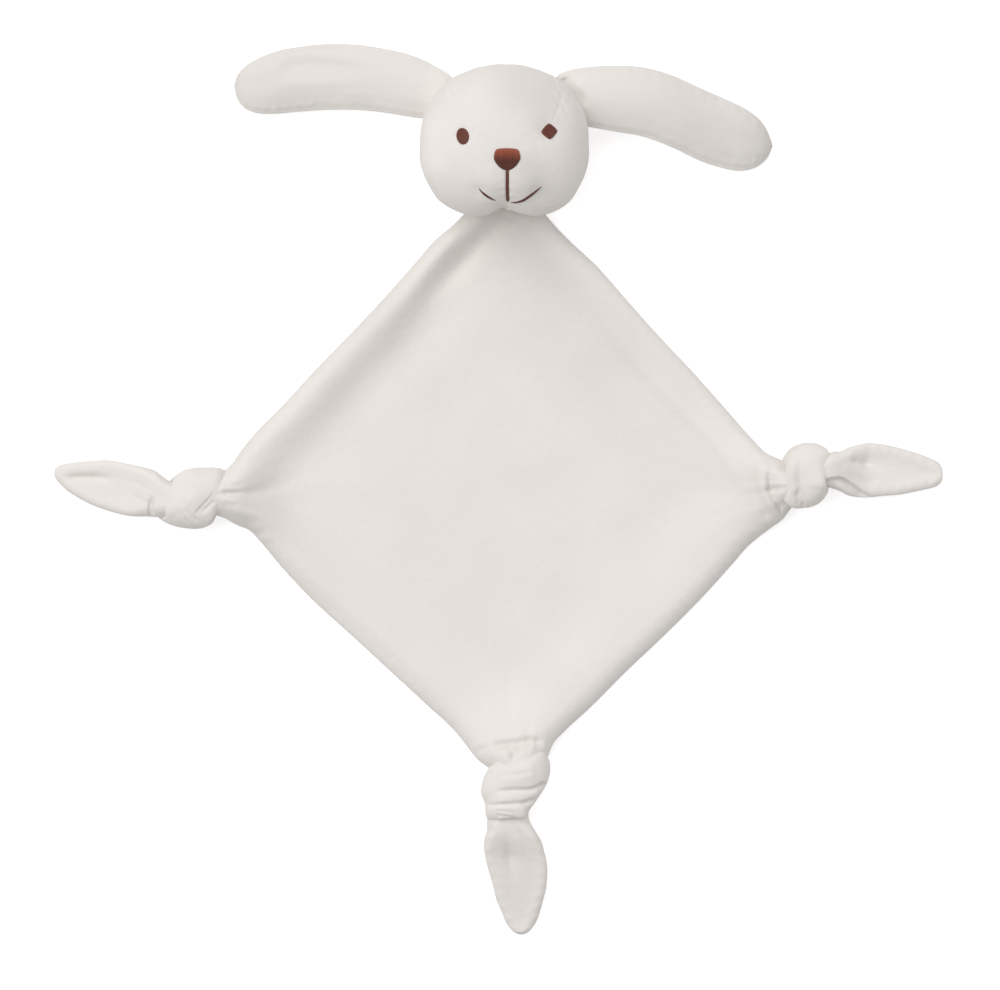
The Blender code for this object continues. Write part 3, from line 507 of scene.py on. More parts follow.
upper_left = smooth((y - x) / SIDES_APART)
lower_right = smooth((x - y) / SIDES_APART)
roll = ROLL_LOW + (ROLL_HIGH - ROLL_LOW) * upper_left + ROLL_TUCKED * lower_right
seam = SEAM_HEIGHT - SEAM_TUCK * lower_right
reach = ROLL_REACH * (1 - 0.2 * upper_left + 0.1 * lower_right)
roll_width = ROLL_WIDTH * (1 + lower_right)
quarter = np.sqrt(np.clip(1 - (1 - np.clip(inside / reach, 0, 1)) ** 2, 0, 1))
outer = seam + (LAYERS + roll - seam) * quarter
inner = LAYERS + roll * bell(inside - reach, roll_width)
upper = np.where(inside < reach, outer, inner)
valley = VALLEY_DEPTH * bell(inside - VALLEY_INSIDE, VALLEY_WIDTH) * upper_left
upper -= valley * (1 - bulk)
print("roll in mm:", (roll.min() / MM).round(1), "to", (roll.max() / MM).round(1))


# %% Folds
LAP_STEP = 0.9 * MM


def lap(x, y, points, reach, start, end):
    """A fold that lies over its neighbour: 0 on the left of a line through points given in mm,
    1 just right of it, and back to 0 in a bell of that reach. It fades as a stroke does."""
    line = by_length(np.array(points) * MM, np.linspace(0, 1, LINE_STEPS))
    heading = np.gradient(line, axis=0)
    heading /= np.linalg.norm(heading, axis=1)[:, None]
    offset = np.stack([x, y], axis=-1).reshape(-1, 2)[:, None] - line[None]
    far = np.sqrt((offset**2).sum(axis=-1))
    near = far.argmin(axis=1)
    offset = offset[np.arange(len(near)), near]
    right = heading[near, 1] * offset[:, 0] - heading[near, 0] * offset[:, 1]
    part = near / (len(line) - 1)
    fade = smooth(part / start) * smooth((1 - part) / end) * bell(far.min(axis=1), 2 * reach * MM)
    return (fade * smooth(right / LAP_STEP) * bell(right, reach * MM)).reshape(x.shape)


def relief(x, y, folds, laps=()):
    """The height in metres that folds and laps add. Each is a height in mm, a width in mm, the
    shares of its line over which it fades in and out, and the line."""
    added = np.zeros(x.shape)
    for height, width, start, end, points in folds:
        added += height * MM * stroke(x, y, points, width, start, end)
    for height, width, start, end, points in laps:
        added += height * MM * lap(x, y, points, width, start, end)
    return added


CLOTH_FOLDS = [
    (-4.6, 5.5, 0.03, 0.65, [(-1, 109), (-6, 102), (-16, 92), (-28, 79), (-40, 64)]),
    (1.8, 6.0, 0.15, 0.5, [(-15, 103), (-28, 90), (-42, 74), (-58, 56)]),
    (0.8, 5.0, 0.1, 0.6, [(4, 108), (6, 98), (9, 84), (13, 66)]),
    (-1.3, 1.1, 0.2, 0.1, [(98.4, 14.8), (98.6, 7.8), (99.3, -1.1), (101.8, -8.5),
                           (105.4, -15.4)]),
    (-0.8, 0.8, 0.2, 0.2, [(101.4, -1.1), (102.8, -7.3), (106.0, -12.9)]),
    (0.7, 1.6, 0.2, 0.2, [(101.0, 10.0), (101.4, 3.0), (102.6, -4.0), (105.6, -10.6)]),
    (-1.5, 0.9, 0.1, 0.6, [(104.2, -1.9), (107.5, -2.1), (112.0, -2.0)]),
    (-1.1, 0.9, 0.05, 0.3, [(-112.5, -3.2), (-109.2, -3.8), (-105.8, -3.2)]),
    (-0.8, 0.8, 0.05, 0.3, [(-111.8, 0.6), (-108.3, -0.9), (-105.0, -0.4)]),
    (-0.7, 0.8, 0.05, 0.3, [(-112.2, -7.9), (-109.2, -8.8), (-106.6, -8.6)]),
    (-3.0, 1.4, 0.2, 0.15, [(-6.5, -104.8), (2.7, -103.9), (7.5, -103.1), (15.5, -102.9)]),
    (-1.7, 0.9, 0.05, 0.1, [(6.6, -104.4), (4.4, -107.0), (1.7, -110.4)]),
    (-1.0, 0.9, 0.05, 0.1, [(13.4, -103.6), (12.0, -106.4), (10.0, -110.0)]),
    (-0.9, 1.1, 0.2, 0.2, [(1.0, -106.6), (3.4, -106.2), (5.2, -105.6)]),
    (-1.0, 1.0, 0.2, 0.2, [(-12.2, -107.6), (-9.4, -105.9), (-5.0, -105.2)]),
    (-0.4, 1.6, 0.2, 0.4, [(-8.0, -104.0), (-10.5, -98.0), (-12.0, -92.0)]),
    (0.7, 2.6, 0.3, 0.15, [(32, 74.4), (59, 41), (86, 13.2), (97, -3)]),
    (0.5, 2.6, 0.3, 0.3, [(-92, -24), (-66, -47), (-38, -72), (-20, -90)]),
]
CLOTH_LAPS = [
    (-2.4, 4.5, 0.1, 0.5, [(110.0, -12.0), (107.0, -8.2), (104.2, -2.0), (104.2, 4.0),
                           (106.0, 11.0)]),
]
upper += relief(x, y, CLOTH_FOLDS, CLOTH_LAPS)
print("folds in the cloth:", len(CLOTH_FOLDS) + len(CLOTH_LAPS))

# %% Pleats at the knots
PLEAT_REACH = 30 * MM
PLEAT_WAVER = 9 * MM
PLEAT_START = 3 * MM
PLEATS = 4.0
FINE_PLEATS = 7.0
# Two shares of the cloth that are 0 in the corner, the pleats' depth in mm, and their phase.
CORNERS = {
    "left_knot": (u, v, 0.3, 0.3),
    "head": (u, 1 - v, 0.25, 1.1),
    "right_knot": (1 - u, 1 - v, 0.3, 2.0),
    "foot_knot": (1 - u, v, 0.3, 0.7),
}
for first, second, depth, phase in CORNERS.values():
    reach = np.hypot(first, second) * SIDE_LENGTH
    fan = np.arctan2(second, first + 1e-9) / (math.pi / 2)
    body = depth * MM * bell(reach, PLEAT_REACH)
    pleat = np.cos(2 * math.pi * (PLEATS * fan + phase + 0.12 * np.sin(reach / PLEAT_WAVER)))
    pleat += 0.6 * np.cos(2 * math.pi * (FINE_PLEATS * fan + 2.3 * phase))
    upper += body * pleat * smooth(inside / PLEAT_START)
print("pleats: a fan of", PLEATS, "over", FINE_PLEATS, "finer ones at", len(CORNERS), "corners")

# %% Puckers along the seam, and the cloth's own unevenness
SEAM_REACH = 118 * MM
PUCKER_STEP = 6.3 * MM
PUCKER_INSIDE = 2.2 * MM
PUCKER_WIDTH = 2.6 * MM
PULLED_SEAM, PULLED_WIDTH = (-99 * MM, -19 * MM), 7 * MM
UNEVEN, UNEVEN_START = 0.10 * MM, 9 * MM
BULK_START = 7 * MM

along_seam = np.arctan2(y, x) * SEAM_REACH
pucker = np.sin(2 * math.pi * along_seam / PUCKER_STEP + 1.5 * np.sin(along_seam / (23 * MM)))
# The seam is most puckered next to the left knot, where it is pulled in.
pulled = bell(np.hypot(x - PULLED_SEAM[0], y - PULLED_SEAM[1]), PULLED_WIDTH)
strength = 0.04 + 0.10 * lower_right + 0.4 * pulled
upper += strength * MM * pucker * bell(inside - PUCKER_INSIDE, PUCKER_WIDTH)
# Waves of unlike lengths cross, so that no unevenness comes twice.
wave = np.sin(x / (17 * MM) + 1.3) * np.cos(y / (21 * MM) - 0.4)
wave += 0.6 * np.sin((x + y) / (12.5 * MM) + 0.8 * np.sin(y / (26 * MM)))
wave += 0.35 * np.cos((x - 1.7 * y) / (8.5 * MM))
upper += UNEVEN * wave * smooth(inside / UNEVEN_START)
upper += climb + BULK * bulk * smooth(inside / BULK_START)
print("upper layer in mm:", (upper.min() / MM).round(1), "to", (upper.max() / MM).round(1))

# %% [markdown]
# The lower layer lies on the table and turns up to the same seam. The seam itself is a small
# notch all round, because the stitches hold the two layers in: the outermost row of points is
# drawn inwards, and both layers share it.

# %% Lower layer and one closed cloth
UNDER = 0.3 * MM
UNDER_CURL = 5 * MM
UNDER_BULK, UNDER_START = 3.4 * MM, 6 * MM
SEAM_NOTCH = 0.6 * MM

curl = 1 - np.sqrt(np.clip(1 - (1 - np.clip(inside / UNDER_CURL, 0, 1)) ** 2, 0, 1))
lower = UNDER + (seam - UNDER) * curl + climb
lower -= UNDER_BULK * bulk * smooth(inside / UNDER_START)
lower = np.maximum(lower, UNDER)
lower[border] = upper[border]
outwards = flat - flat.mean(axis=(0, 1))
notch = SEAM_NOTCH * border[..., None] * outwards
notched = flat - notch / np.linalg.norm(outwards, axis=-1)[..., None]

rows, columns = flat.shape[:2]
top_points = np.concatenate([notched, upper[..., None]], axis=-1).reshape(-1, 3)
low_points = np.concatenate([notched, lower[..., None]], axis=-1).reshape(-1, 3)
number = np.full(rows * columns, -1)
free = np.flatnonzero(~border.ravel())
number[free] = rows * columns + np.arange(len(free))
number[border.ravel()] = np.flatnonzero(border.ravel())
top_faces = quads(rows, columns, wrap=False)
low_faces = number[top_faces][:, ::-1]
whole = make_piece("cloth", np.concatenate([top_points, low_points[free]]), top_faces, low_faces)
print("whole cloth:", len(whole.data.polygons), "faces")

# %% [markdown]
# ## Cutting the cloth at its hinges
# The middle of the cloth stays on the table when a corner or the head is lifted, and a corner
# bends. So the cloth becomes five pieces with common borders: the middle rides on the blanket,
# and each corner is a piece of its own. The whole cloth's normals go with the pieces, so that no
# border shows.

# %% Five pieces from one cloth
# For each corner's body: the way out to it, how far out the cloth is cut, and the start and end
# of the stretch where a corner would bend, all in mm from the middle.
CUTS = {
    "left_knot": ((-1, 0, 0), 84, 90, 110),
    "right_knot": ((1, 0, 0), 84, 90, 110),
    "foot_knot": ((0, -1, 0), 82, 88, 108),
    "head": ((0, 1, 0), 80, 86, 110),
}
CUT_TOLERANCE = 1e-7
shape = bmesh.new()
shape.from_mesh(whole.data)
for way, cut, _, _ in CUTS.values():
    found = shape.verts[:] + shape.edges[:] + shape.faces[:]
    bmesh.ops.bisect_plane(shape, geom=found, dist=CUT_TOLERANCE,
                           plane_co=np.array(way) * cut * MM, plane_no=way)
shape.to_mesh(whole.data)
shape.free()

normals = np.empty(len(whole.data.vertices) * 3, np.float32)
whole.data.vertex_normals.foreach_get("vector", normals)
kept = whole.data.attributes.new("cloth_normal", "FLOAT_VECTOR", "POINT")
kept.data.foreach_set("vector", normals)


def past_cuts(at):
    """The body whose cut a point lies outside of, or the blanket."""
    for body, (way, cut, _, _) in CUTS.items():
        if at.x * way[0] + at.y * way[1] > cut * MM:
            return body
    return "blanket"


def cut_out(name, body):
    """A piece of the whole cloth: the faces whose middle belongs to the body. Its open border
    is closed with a wall of triangles, so that it is solid when it is exported."""
    shape = bmesh.new()
    shape.from_mesh(whole.data)
    others = [face for face in shape.faces if past_cuts(face.calc_center_median()) != body]
    bmesh.ops.delete(shape, geom=others, context="FACES")
    borders = [edge for edge in shape.edges if edge.is_boundary]
    walls = bmesh.ops.holes_fill(shape, edges=borders, sides=0)["faces"]
    bmesh.ops.triangulate(shape, faces=walls)
    mesh = bpy.data.meshes.new(name)
    shape.to_mesh(mesh)
    shape.free()
    piece = bpy.data.objects.new(name, mesh)
    bpy.context.scene.collection.objects.link(piece)
    values = np.empty(len(mesh.vertices) * 3, np.float32)
    mesh.attributes["cloth_normal"].data.foreach_get("vector", values)
    mesh.attributes.remove(mesh.attributes["cloth_normal"])
    mesh.shade_smooth()
    mesh.normals_split_custom_set_from_vertices(values.reshape(-1, 3).tolist())
    return piece


blanket = cut_out("blanket", "blanket")
dress(blanket, velour, "cream_velour", "blanket", "blanket_back", "blanket_front")
gathers = {
    "left_knot": cut_out("left_corner", "left_knot"),
    "right_knot": cut_out("right_corner", "right_knot"),
    "foot_knot": cut_out("foot_corner", "foot_knot"),
    "head": cut_out("neck_corner", "head"),
}
bpy.data.objects.remove(whole)
for body, piece in gathers.items():
    nodes = ("neck_gather",) if body == "head" else ()
    dress(piece, velour, "cream_velour", None, *nodes)
    way, _, start, end = CUTS[body]
    way = np.array(way, float)
    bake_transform(piece)


# %% [markdown]
# How large the cloth was before it was hung or laid is worked out and printed, piece by piece.
# Each piece is closed and has two layers, so the cloth that it takes is half of its surface.

# %% Flat sizes
TURNED_IN = 0.97
LEAST_FILLED = 0.31


def cloth_area(piece):
    """Half of the surface of a closed two-layer piece, in square metres."""
    areas = np.empty(len(piece.data.polygons))
    piece.data.polygons.foreach_get("area", areas)
    return areas.sum() / 2


def declare_cloth(piece):
    """Prints the flat size a sheet of cloth was cut to: the lengths of its box, and half its
    surface less what the seam's edge adds to it."""
    points = np.empty(len(piece.data.vertices) * 3, np.float32)
    piece.data.vertices.foreach_get("co", points)
    width, length, _ = np.ptp(points.reshape(-1, 3), axis=0).astype(float)
    area = max(TURNED_IN * cloth_area(piece), LEAST_FILLED * width * length)
    area = min(area, width * length)
    print(piece.name, "flat:", [round(width, 3), round(length, 3)], "area:", round(area, 5))


declare_cloth(blanket)
for piece in gathers.values():
    declare_cloth(piece)

# %% [markdown]
# ## The head
# The real head is a soft ball of three velour panels: a gusset from the nose over the forehead
# to the nape, and a cheek on each side. It is stuffed with loose fibre, so each panel swells
# between its seams. Its surface here is a function of two angles: tilt, from the nose over the
# head to the nape, and turn, round that line. The three panels share the grid, and the seams
# are lines of it.
#
# The stuffing's push is left to Blender's cloth solver, which inflates the cover while its
# seams are pinned. The usual pressure of about 4 suits a cushion, but hardly moves a part of
# 30 mm with stiff springs. So the pressure here is a hundred times higher, the springs are
# soft and the points light, and no point may move further than a millimetre or so.

# %% Pressure in a cover
PRESSURE = 400.0
VERTEX_MASS = 0.002
STRETCH = 0.8
BENDING = 0.05
SOLVER_QUALITY = 8
SOLVER_FRAMES = 20


def panel_columns(start, end, count):
    """Columns of a panel for the coarse grid: its first seam, and even steps after it."""
    return np.linspace(start, end, count, endpoint=False).round().astype(int)


def swelled(name, rings, coarse_rows, columns, seams, limit, short=0):
    """A closed tube's rings as the cloth solver leaves them. It works on some rows and columns
    of the grid, which start a little inside the form. The seam columns and both ends are pinned
    and pressure pushes the rest out. How far each point moved, at most the limit, is carried
    over to the fine grid by cubics. The coarse grid may end some rings short of a pointed tip,
    because the solver can't use springs without a length."""
    rows = np.linspace(0, len(rings) - 1 - short, coarse_rows).round().astype(int)
    coarse = rings[np.ix_(rows, columns)]
    free = np.ones(coarse.shape[:2])
    free[:, np.isin(columns, seams)] = 0
    free[[0, -1]] = 0
    piece = closed_tube(name, coarse)
    count = len(piece.data.vertices)
    points, normals = np.empty(count * 3, np.float32), np.empty(count * 3, np.float32)
    piece.data.vertices.foreach_get("co", points)
    piece.data.vertex_normals.foreach_get("vector", normals)
    inset = 0.5 * limit * np.append(free, [0, 0])
    points -= np.repeat(inset, 3).astype(np.float32) * normals
    piece.data.vertices.foreach_set("co", points)
    piece.data.update()
    pins = piece.vertex_groups.new(name="seams")
    pins.add(np.flatnonzero(np.append(free, [0, 0]) == 0).tolist(), 1.0, "REPLACE")
    solver = piece.modifiers.new("pressure", "CLOTH")
    solver.settings.quality = SOLVER_QUALITY
    solver.settings.mass = VERTEX_MASS
    solver.settings.tension_stiffness = STRETCH
    solver.settings.compression_stiffness = STRETCH
    solver.settings.shear_stiffness = STRETCH
    solver.settings.bending_stiffness = BENDING
    solver.settings.use_pressure = True
    solver.settings.uniform_pressure_force = PRESSURE
    solver.settings.vertex_group_mass = "seams"
    solver.settings.effector_weights.gravity = 0.0
    solver.collision_settings.use_collision = False
    for moment in range(1, SOLVER_FRAMES + 1):
        bpy.context.scene.frame_set(moment)
    graph = bpy.context.evaluated_depsgraph_get()
    piece.evaluated_get(graph).data.vertices.foreach_get("co", points)
    moved = points.reshape(-1, 3)[:free.size].reshape(coarse.shape) - coarse
    length = np.linalg.norm(moved, axis=-1)
    outward = coarse - coarse.reshape(-1, 3).mean(axis=0)
    grown = (moved * outward).sum(axis=-1) / np.linalg.norm(outward, axis=-1)
    print(name, "moved in mm:", (np.percentile(length, [5, 50, 95, 100]) / MM).round(2))
    print(name, "outwards in mm:", (np.percentile(grown, [0, 5, 50, 95, 100]) / MM).round(2))
    moved *= np.minimum(1, limit / np.maximum(length, 1e-9))[..., None]
    bpy.data.objects.remove(piece)
    bpy.context.scene.frame_set(1)
    # The first two and last two columns are repeated at the other end, to close the round.
    wide = rings.shape[1]
    stations = np.concatenate([columns[-2:] - wide, columns, columns[:2] + wide])
    wrapped = np.concatenate([moved[:, -2:], moved, moved[:, :2]], axis=1).transpose(1, 0, 2)
    across = through(stations, wrapped.reshape(len(stations), -1), np.arange(wide))
    across = across.reshape(wide, len(rows), 3).transpose(1, 0, 2).reshape(len(rows), -1)
    places = np.minimum(np.arange(len(rings)), rows[-1])
    return rings + through(rows, across, places).reshape(rings.shape)


# %% Head surface
HEAD_DEPTH = 26.0 * MM
HEAD_POWER = 2.15
HEAD_MIDDLE = np.array([-0.8, 137.2, 26.0]) * MM
# Places from the head's middle, in mm, once round it as seen from above.
HEAD_OUTLINE = np.array([
    (33.4, -1.2), (32.8, 8.4), (31.6, 14.0), (27.8, 19.6), (24.2, 23.0), (18.6, 26.6),
    (12.4, 29.0), (0.6, 30.1), (-11.0, 29.0), (-18.2, 26.5), (-23.0, 23.0), (-27.0, 19.4),
    (-30.6, 13.8), (-31.8, 8.2), (-33.0, -2.2), (-32.8, -9.4), (-31.4, -15.8), (-28.6, -20.6),
    (-26.2, -23.8), (-21.0, -27.8), (-15.8, -30.2), (-11.8, -31.0), (-8.6, -30.9),
    (-5.4, -30.2), (-2.6, -28.0), (-0.6, -27.0), (3.4, -28.0), (6.6, -29.2), (9.8, -30.4),
    (13.8, -30.8), (17.8, -30.2), (22.2, -28.2), (27.0, -24.2), (29.4, -20.6), (31.8, -15.8),
    (33.0, -11.0)]) * MM
NOSE_X, NOSE_DROP = 1.4 * MM, 7.0 * MM
FACE_RADIUS = 31 * MM
RIM_ROUNDING = 1.6
FACE_ROUNDING = 16

bearing = np.arctan2(HEAD_OUTLINE[:, 1], HEAD_OUTLINE[:, 0])
every_bearing = np.radians(np.arange(-180, 180, 0.5))
outline_reach = np.interp(every_bearing, bearing[np.argsort(bearing)],
                          np.hypot(*HEAD_OUTLINE.T)[np.argsort(bearing)], period=2 * math.pi)


def rounded_off(reach, degrees):
    """The reach at every half degree, averaged round the outline under a bell."""
    kernel = bell(every_bearing, math.radians(degrees))
    spectrum = np.fft.rfft(reach) * np.fft.rfft(np.roll(kernel / kernel.sum(), len(kernel) // 2))
    return np.fft.irfft(spectrum, len(reach))


rim_reach = rounded_off(outline_reach, RIM_ROUNDING)
face_reach = rounded_off(outline_reach, FACE_ROUNDING)
nose_way = np.array([NOSE_X, -NOSE_DROP, 0.0]) / FACE_RADIUS
nose_way[2] = math.sqrt(1 - nose_way @ nose_way)
crown_way = np.array([0.0, 1.0, 0.0]) - nose_way[1] * nose_way
crown_way /= np.linalg.norm(crown_way)
right_way = np.cross(crown_way, nose_way)
print("head from its middle in mm:", (rim_reach.min() / MM).round(1), "to",
      (rim_reach.max() / MM).round(1))


def head_form(direction):
    """Each direction from the head's middle, scaled by the head's depth upwards, and sideways
    by the outline's reach at its bearing. Near the middle of the face that reach is rounded
    off, so that the notch in the chin fades out upwards. A power above two makes the face
    flatter and its sides steeper than a ball's."""
    out, up = np.hypot(direction[..., 0], direction[..., 1]), np.abs(direction[..., 2])
    swell = (out**HEAD_POWER + up**HEAD_POWER) ** (-1 / HEAD_POWER)
    a, b, c = (swell * direction[..., axis] for axis in range(3))
    at = np.arctan2(b, a)
    near_rim = np.hypot(a, b) ** 6
    reach = np.interp(at, every_bearing, face_reach, period=2 * math.pi) * (1 - near_rim)
    reach += np.interp(at, every_bearing, rim_reach, period=2 * math.pi) * near_rim
    return HEAD_MIDDLE + np.stack([reach * a, reach * b, HEAD_DEPTH * c], axis=-1)


def head_direction(tilt, turn):
    """The unit direction at a tilt from the nose and a turn from the crown."""
    round_it = np.cos(turn)[..., None] * crown_way + np.sin(turn)[..., None] * right_way
    return np.cos(tilt)[..., None] * nose_way + np.sin(tilt)[..., None] * round_it


def seam_turn(tilt):
    """Half the gusset's width as a turn: 36 degrees, and 42 more at the nose, which fade as e
    to the minus (tilt over 45 degrees)."""
    return np.radians(36) + np.radians(42) * np.exp(-tilt / np.radians(45))


# %% Panels and their seams
TILT_STEPS, PANEL_STEPS = 150, 74
HEAD_RADIUS = 29 * MM
NOSE_END, SEAM_START = 7 * MM, 8 * MM
ABOVE_EYES, EYE_FADE = 7 * MM, 4 * MM
SEAM_DENT = 0.7 * MM
CHIN_DENT, CHIN_SEAM_FROM, CHIN_SEAM_FADE = 0.8 * MM, 24 * MM, 6 * MM
PANEL_SWELL_REACH = 9 * MM
HEAD_PUCKER_STEP, HEAD_PUCKER_INSIDE, HEAD_PUCKER_WIDTH = 4.4 * MM, 1.6 * MM, 1.8 * MM
LIP_WIDTH, LIP_FROM, LIP_FADE = 1.1 * MM, 10 * MM, 4 * MM
# Dents and swellings round the eyes, the nose and the mouth: height in mm, width in mm, and the
# place from the head's middle in mm.
FACE_DENTS = [
    (-0.7, 4.2, (-17.0, 1.6)), (-0.8, 4.4, (17.0, 4.0)), (-0.5, 5.0, (1.2, -9.5)),
    (-0.8, 3.0, (-9.6, -20.0)), (-0.7, 3.2, (13.6, -21.2)), (0.8, 5.0, (-5.5, -17.5)),
    (0.8, 5.5, (8.5, -18.0)),
]

tilt = np.linspace(np.radians(1.5), np.radians(178.5), TILT_STEPS)[:, None]
part = (1 - np.cos(np.linspace(0, math.pi, PANEL_STEPS + 1))) / 2
part = (0.35 * part + 0.65 * np.linspace(0, 1, PANEL_STEPS + 1))[None, :-1]
edge = seam_turn(tilt)
turn = np.concatenate([
    -edge + 2 * edge * part,
    edge + (math.pi - edge) * part,
    math.pi + (math.pi - edge) * part,
], axis=1)
direction = head_direction(tilt + 0 * turn, turn)


def seam_distance(direction):
    """How far along the surface a direction lies from the right gusset seam, the left one and
    the seam under the chin, in metres, and how far along the head it is from the nose."""
    tilt = np.arccos(np.clip(direction @ nose_way, -1, 1))
    turn = np.arctan2(direction @ right_way, direction @ crown_way)
    radius = HEAD_RADIUS * np.sin(tilt)
    edge = seam_turn(tilt)
    right = (turn - edge) * radius
    left = (turn + edge) * radius
    chin = (math.pi - np.abs(turn)) * radius
    return right, left, chin, tilt * HEAD_RADIUS


def dent(where, size, x, y):
    """A round dent at a place on the face, seen from the front."""
    return bell(np.hypot(x - where[0] * MM, y - where[1] * MM), size * MM)


def face_height(direction):
    """How far the cloth stands out of the plain form: it sinks at the seams, swells between
    them, puckers next to them, and is drawn in by the eyes, the nose and the mouth."""
    right, left, chin, run = seam_distance(direction)
    place = head_form(direction)
    x, y = place[..., 0] - HEAD_MIDDLE[0], place[..., 1] - HEAD_MIDDLE[1]
    front = smooth(direction[..., 2] / 0.3)
    away = smooth((run - NOSE_END) / SEAM_START)
    above_eyes = smooth((y - ABOVE_EYES) / EYE_FADE) + (1 - front)
    lift = -0.2 * bell(right, SEAM_DENT) * away * above_eyes
    lift -= 0.12 * bell(left, SEAM_DENT) * away * above_eyes
    lift -= 0.5 * bell(chin, CHIN_DENT) * smooth((run - CHIN_SEAM_FROM) / CHIN_SEAM_FADE)
    nearest = np.minimum(np.minimum(np.abs(right), np.abs(left)), chin)
    lift += 0.35 * smooth(nearest / PANEL_SWELL_REACH)
    pucker = np.sin(2 * math.pi * run / HEAD_PUCKER_STEP + 2 * np.sin(run / (11 * MM)))
    lift += 0.13 * pucker * bell(nearest - HEAD_PUCKER_INSIDE, HEAD_PUCKER_WIDTH) * away
    inner = front * sum(depth * dent(where, size, x, y) for depth, size, where in FACE_DENTS)
    lip = bell(x - NOSE_X, LIP_WIDTH) * smooth((-y - LIP_FROM) / LIP_FADE) * front
    return MM * (lift + inner - 0.5 * lip)


def head_cloth(direction):
    """The head's outer surface in a direction, with its seams and dents."""
    return head_form(direction) + face_height(direction)[..., None] * direction


HEAD_SWELLS = 1.5 * MM
COARSE_ROWS, COARSE_STEPS = 32, 11

rings = head_cloth(direction)
columns = np.concatenate([panel_columns(at * PANEL_STEPS, (at + 1) * PANEL_STEPS, COARSE_STEPS)
                          for at in range(3)])
seams = np.arange(3) * PANEL_STEPS
stuffed = swelled("stuffed_head", rings, COARSE_ROWS, columns, seams, HEAD_SWELLS)
# The embroidery holds the face in, so only what lies behind it swells.
behind_face = smooth((tilt - np.radians(55)) / np.radians(25))[..., None]
head_cover = closed_tube("head_cover", rings + (stuffed - rings) * behind_face)
dress(head_cover, velour, "cream_velour", "head", "head_gusset", "head_left_cheek",
      "head_right_cheek", "head_filling")

# %% [markdown]
# ## The face
# Eyes, nose and mouth are machine embroidery in brown thread. Satin stitch lays the threads side
# by side across a shape, so its surface is a row of fine ridges that catches the light. A patch
# is a flat tube: its rings run along the threads, and each ring's height rises and falls with
# the threads, 0.5 mm apart. Real thread is 0.35 mm thick, and it is drawn a little coarser, so
# that a ridge covers more than a pixel.

# %% Thread material
FIBRE_MOTTLE = 0.9 * MM


def thread_material(name, dark, light, low, high):
    """Embroidery thread that goes from its dark to its light brown between two heights on the
    face, given in metres from the blanket's middle towards the head."""
    material, tree, shader = new_material(name)
    place = add_node(tree, "ShaderNodeTexCoord").outputs["Object"]
    fibre = add_node(tree, "ShaderNodeTexNoise", {"Scale": 1 / FIBRE_MOTTLE, "Detail": 3.0},
                     {"Vector": place})
    parts = add_node(tree, "ShaderNodeSeparateXYZ", (), {"Vector": place})
    share = add_node(tree, "ShaderNodeMapRange", {"From Min": low, "From Max": high},
                     {"Value": parts.outputs["Y"]})
    mottled = add_node(tree, "ShaderNodeMath", {"operation": "MULTIPLY_ADD"})
    tree.links.new(fibre.outputs["Fac"], mottled.inputs[0])
    mottled.inputs[1].default_value = 0.5
    tree.links.new(share.outputs["Result"], mottled.inputs[2])
    brown = add_node(tree, "ShaderNodeValToRGB", (), {"Fac": mottled.outputs[0]})
    brown.color_ramp.elements[0].position = 0.15
    brown.color_ramp.elements[0].color = linear(dark)
    brown.color_ramp.elements[1].position = 1.25 / 1.5
    brown.color_ramp.elements[1].color = linear(light)
    bump = add_node(tree, "ShaderNodeBump", {"Strength": 0.3, "Distance": 0.1 * MM},
                    {"Height": fibre.outputs["Fac"]})
    tree.links.new(brown.outputs["Color"], shader.inputs["Base Color"])
    tree.links.new(bump.outputs["Normal"], shader.inputs["Normal"])
    shader.inputs["Roughness"].default_value = 0.5
    shader.inputs["Sheen Weight"].default_value = 0.15
    shader.inputs["Sheen Roughness"].default_value = 0.4
    return material


thread = thread_material("embroidery_thread", "#3E2019", "#6A3527", 0.100, 0.170)
# The nose's thread is lighter towards its top: painted highlight, where light catches the satin
# threads.
nose_thread = thread_material("embroidery_thread_nose", "#48241B", "#94492F", 0.1288, 0.1345)
print("threads:", thread.name, nose_thread.name)


# %% Satin stitch
FACE_STEPS = 60
THREAD_STEP = 0.5 * MM
THREAD_LIFT = 0.7 * MM
THREAD_ROOT = -0.5 * MM
THREAD_FULL = 0.9 * MM
RINGS_PER_THREAD = 8


def face_direction(across, up):
    """The direction whose surface point lies under a point of the face, seen from the front,
    found by stepping the direction by 0.6 of what is still missing."""
    a, b = across / FACE_RADIUS, up / FACE_RADIUS
    for _ in range(FACE_STEPS):
        c = np.sqrt(np.clip(1 - a**2 - b**2, 0.01, 1))
        found = head_cloth(np.stack([a, b, c], axis=-1)) - HEAD_MIDDLE
        a = np.clip(a + 0.6 * (across - found[..., 0]) / FACE_RADIUS, -0.95, 0.95)
        b = np.clip(b + 0.6 * (up - found[..., 1]) / FACE_RADIUS, -0.93, 0.93)
    return np.stack([a, b, np.sqrt(np.clip(1 - a**2 - b**2, 0.01, 1))], axis=-1)


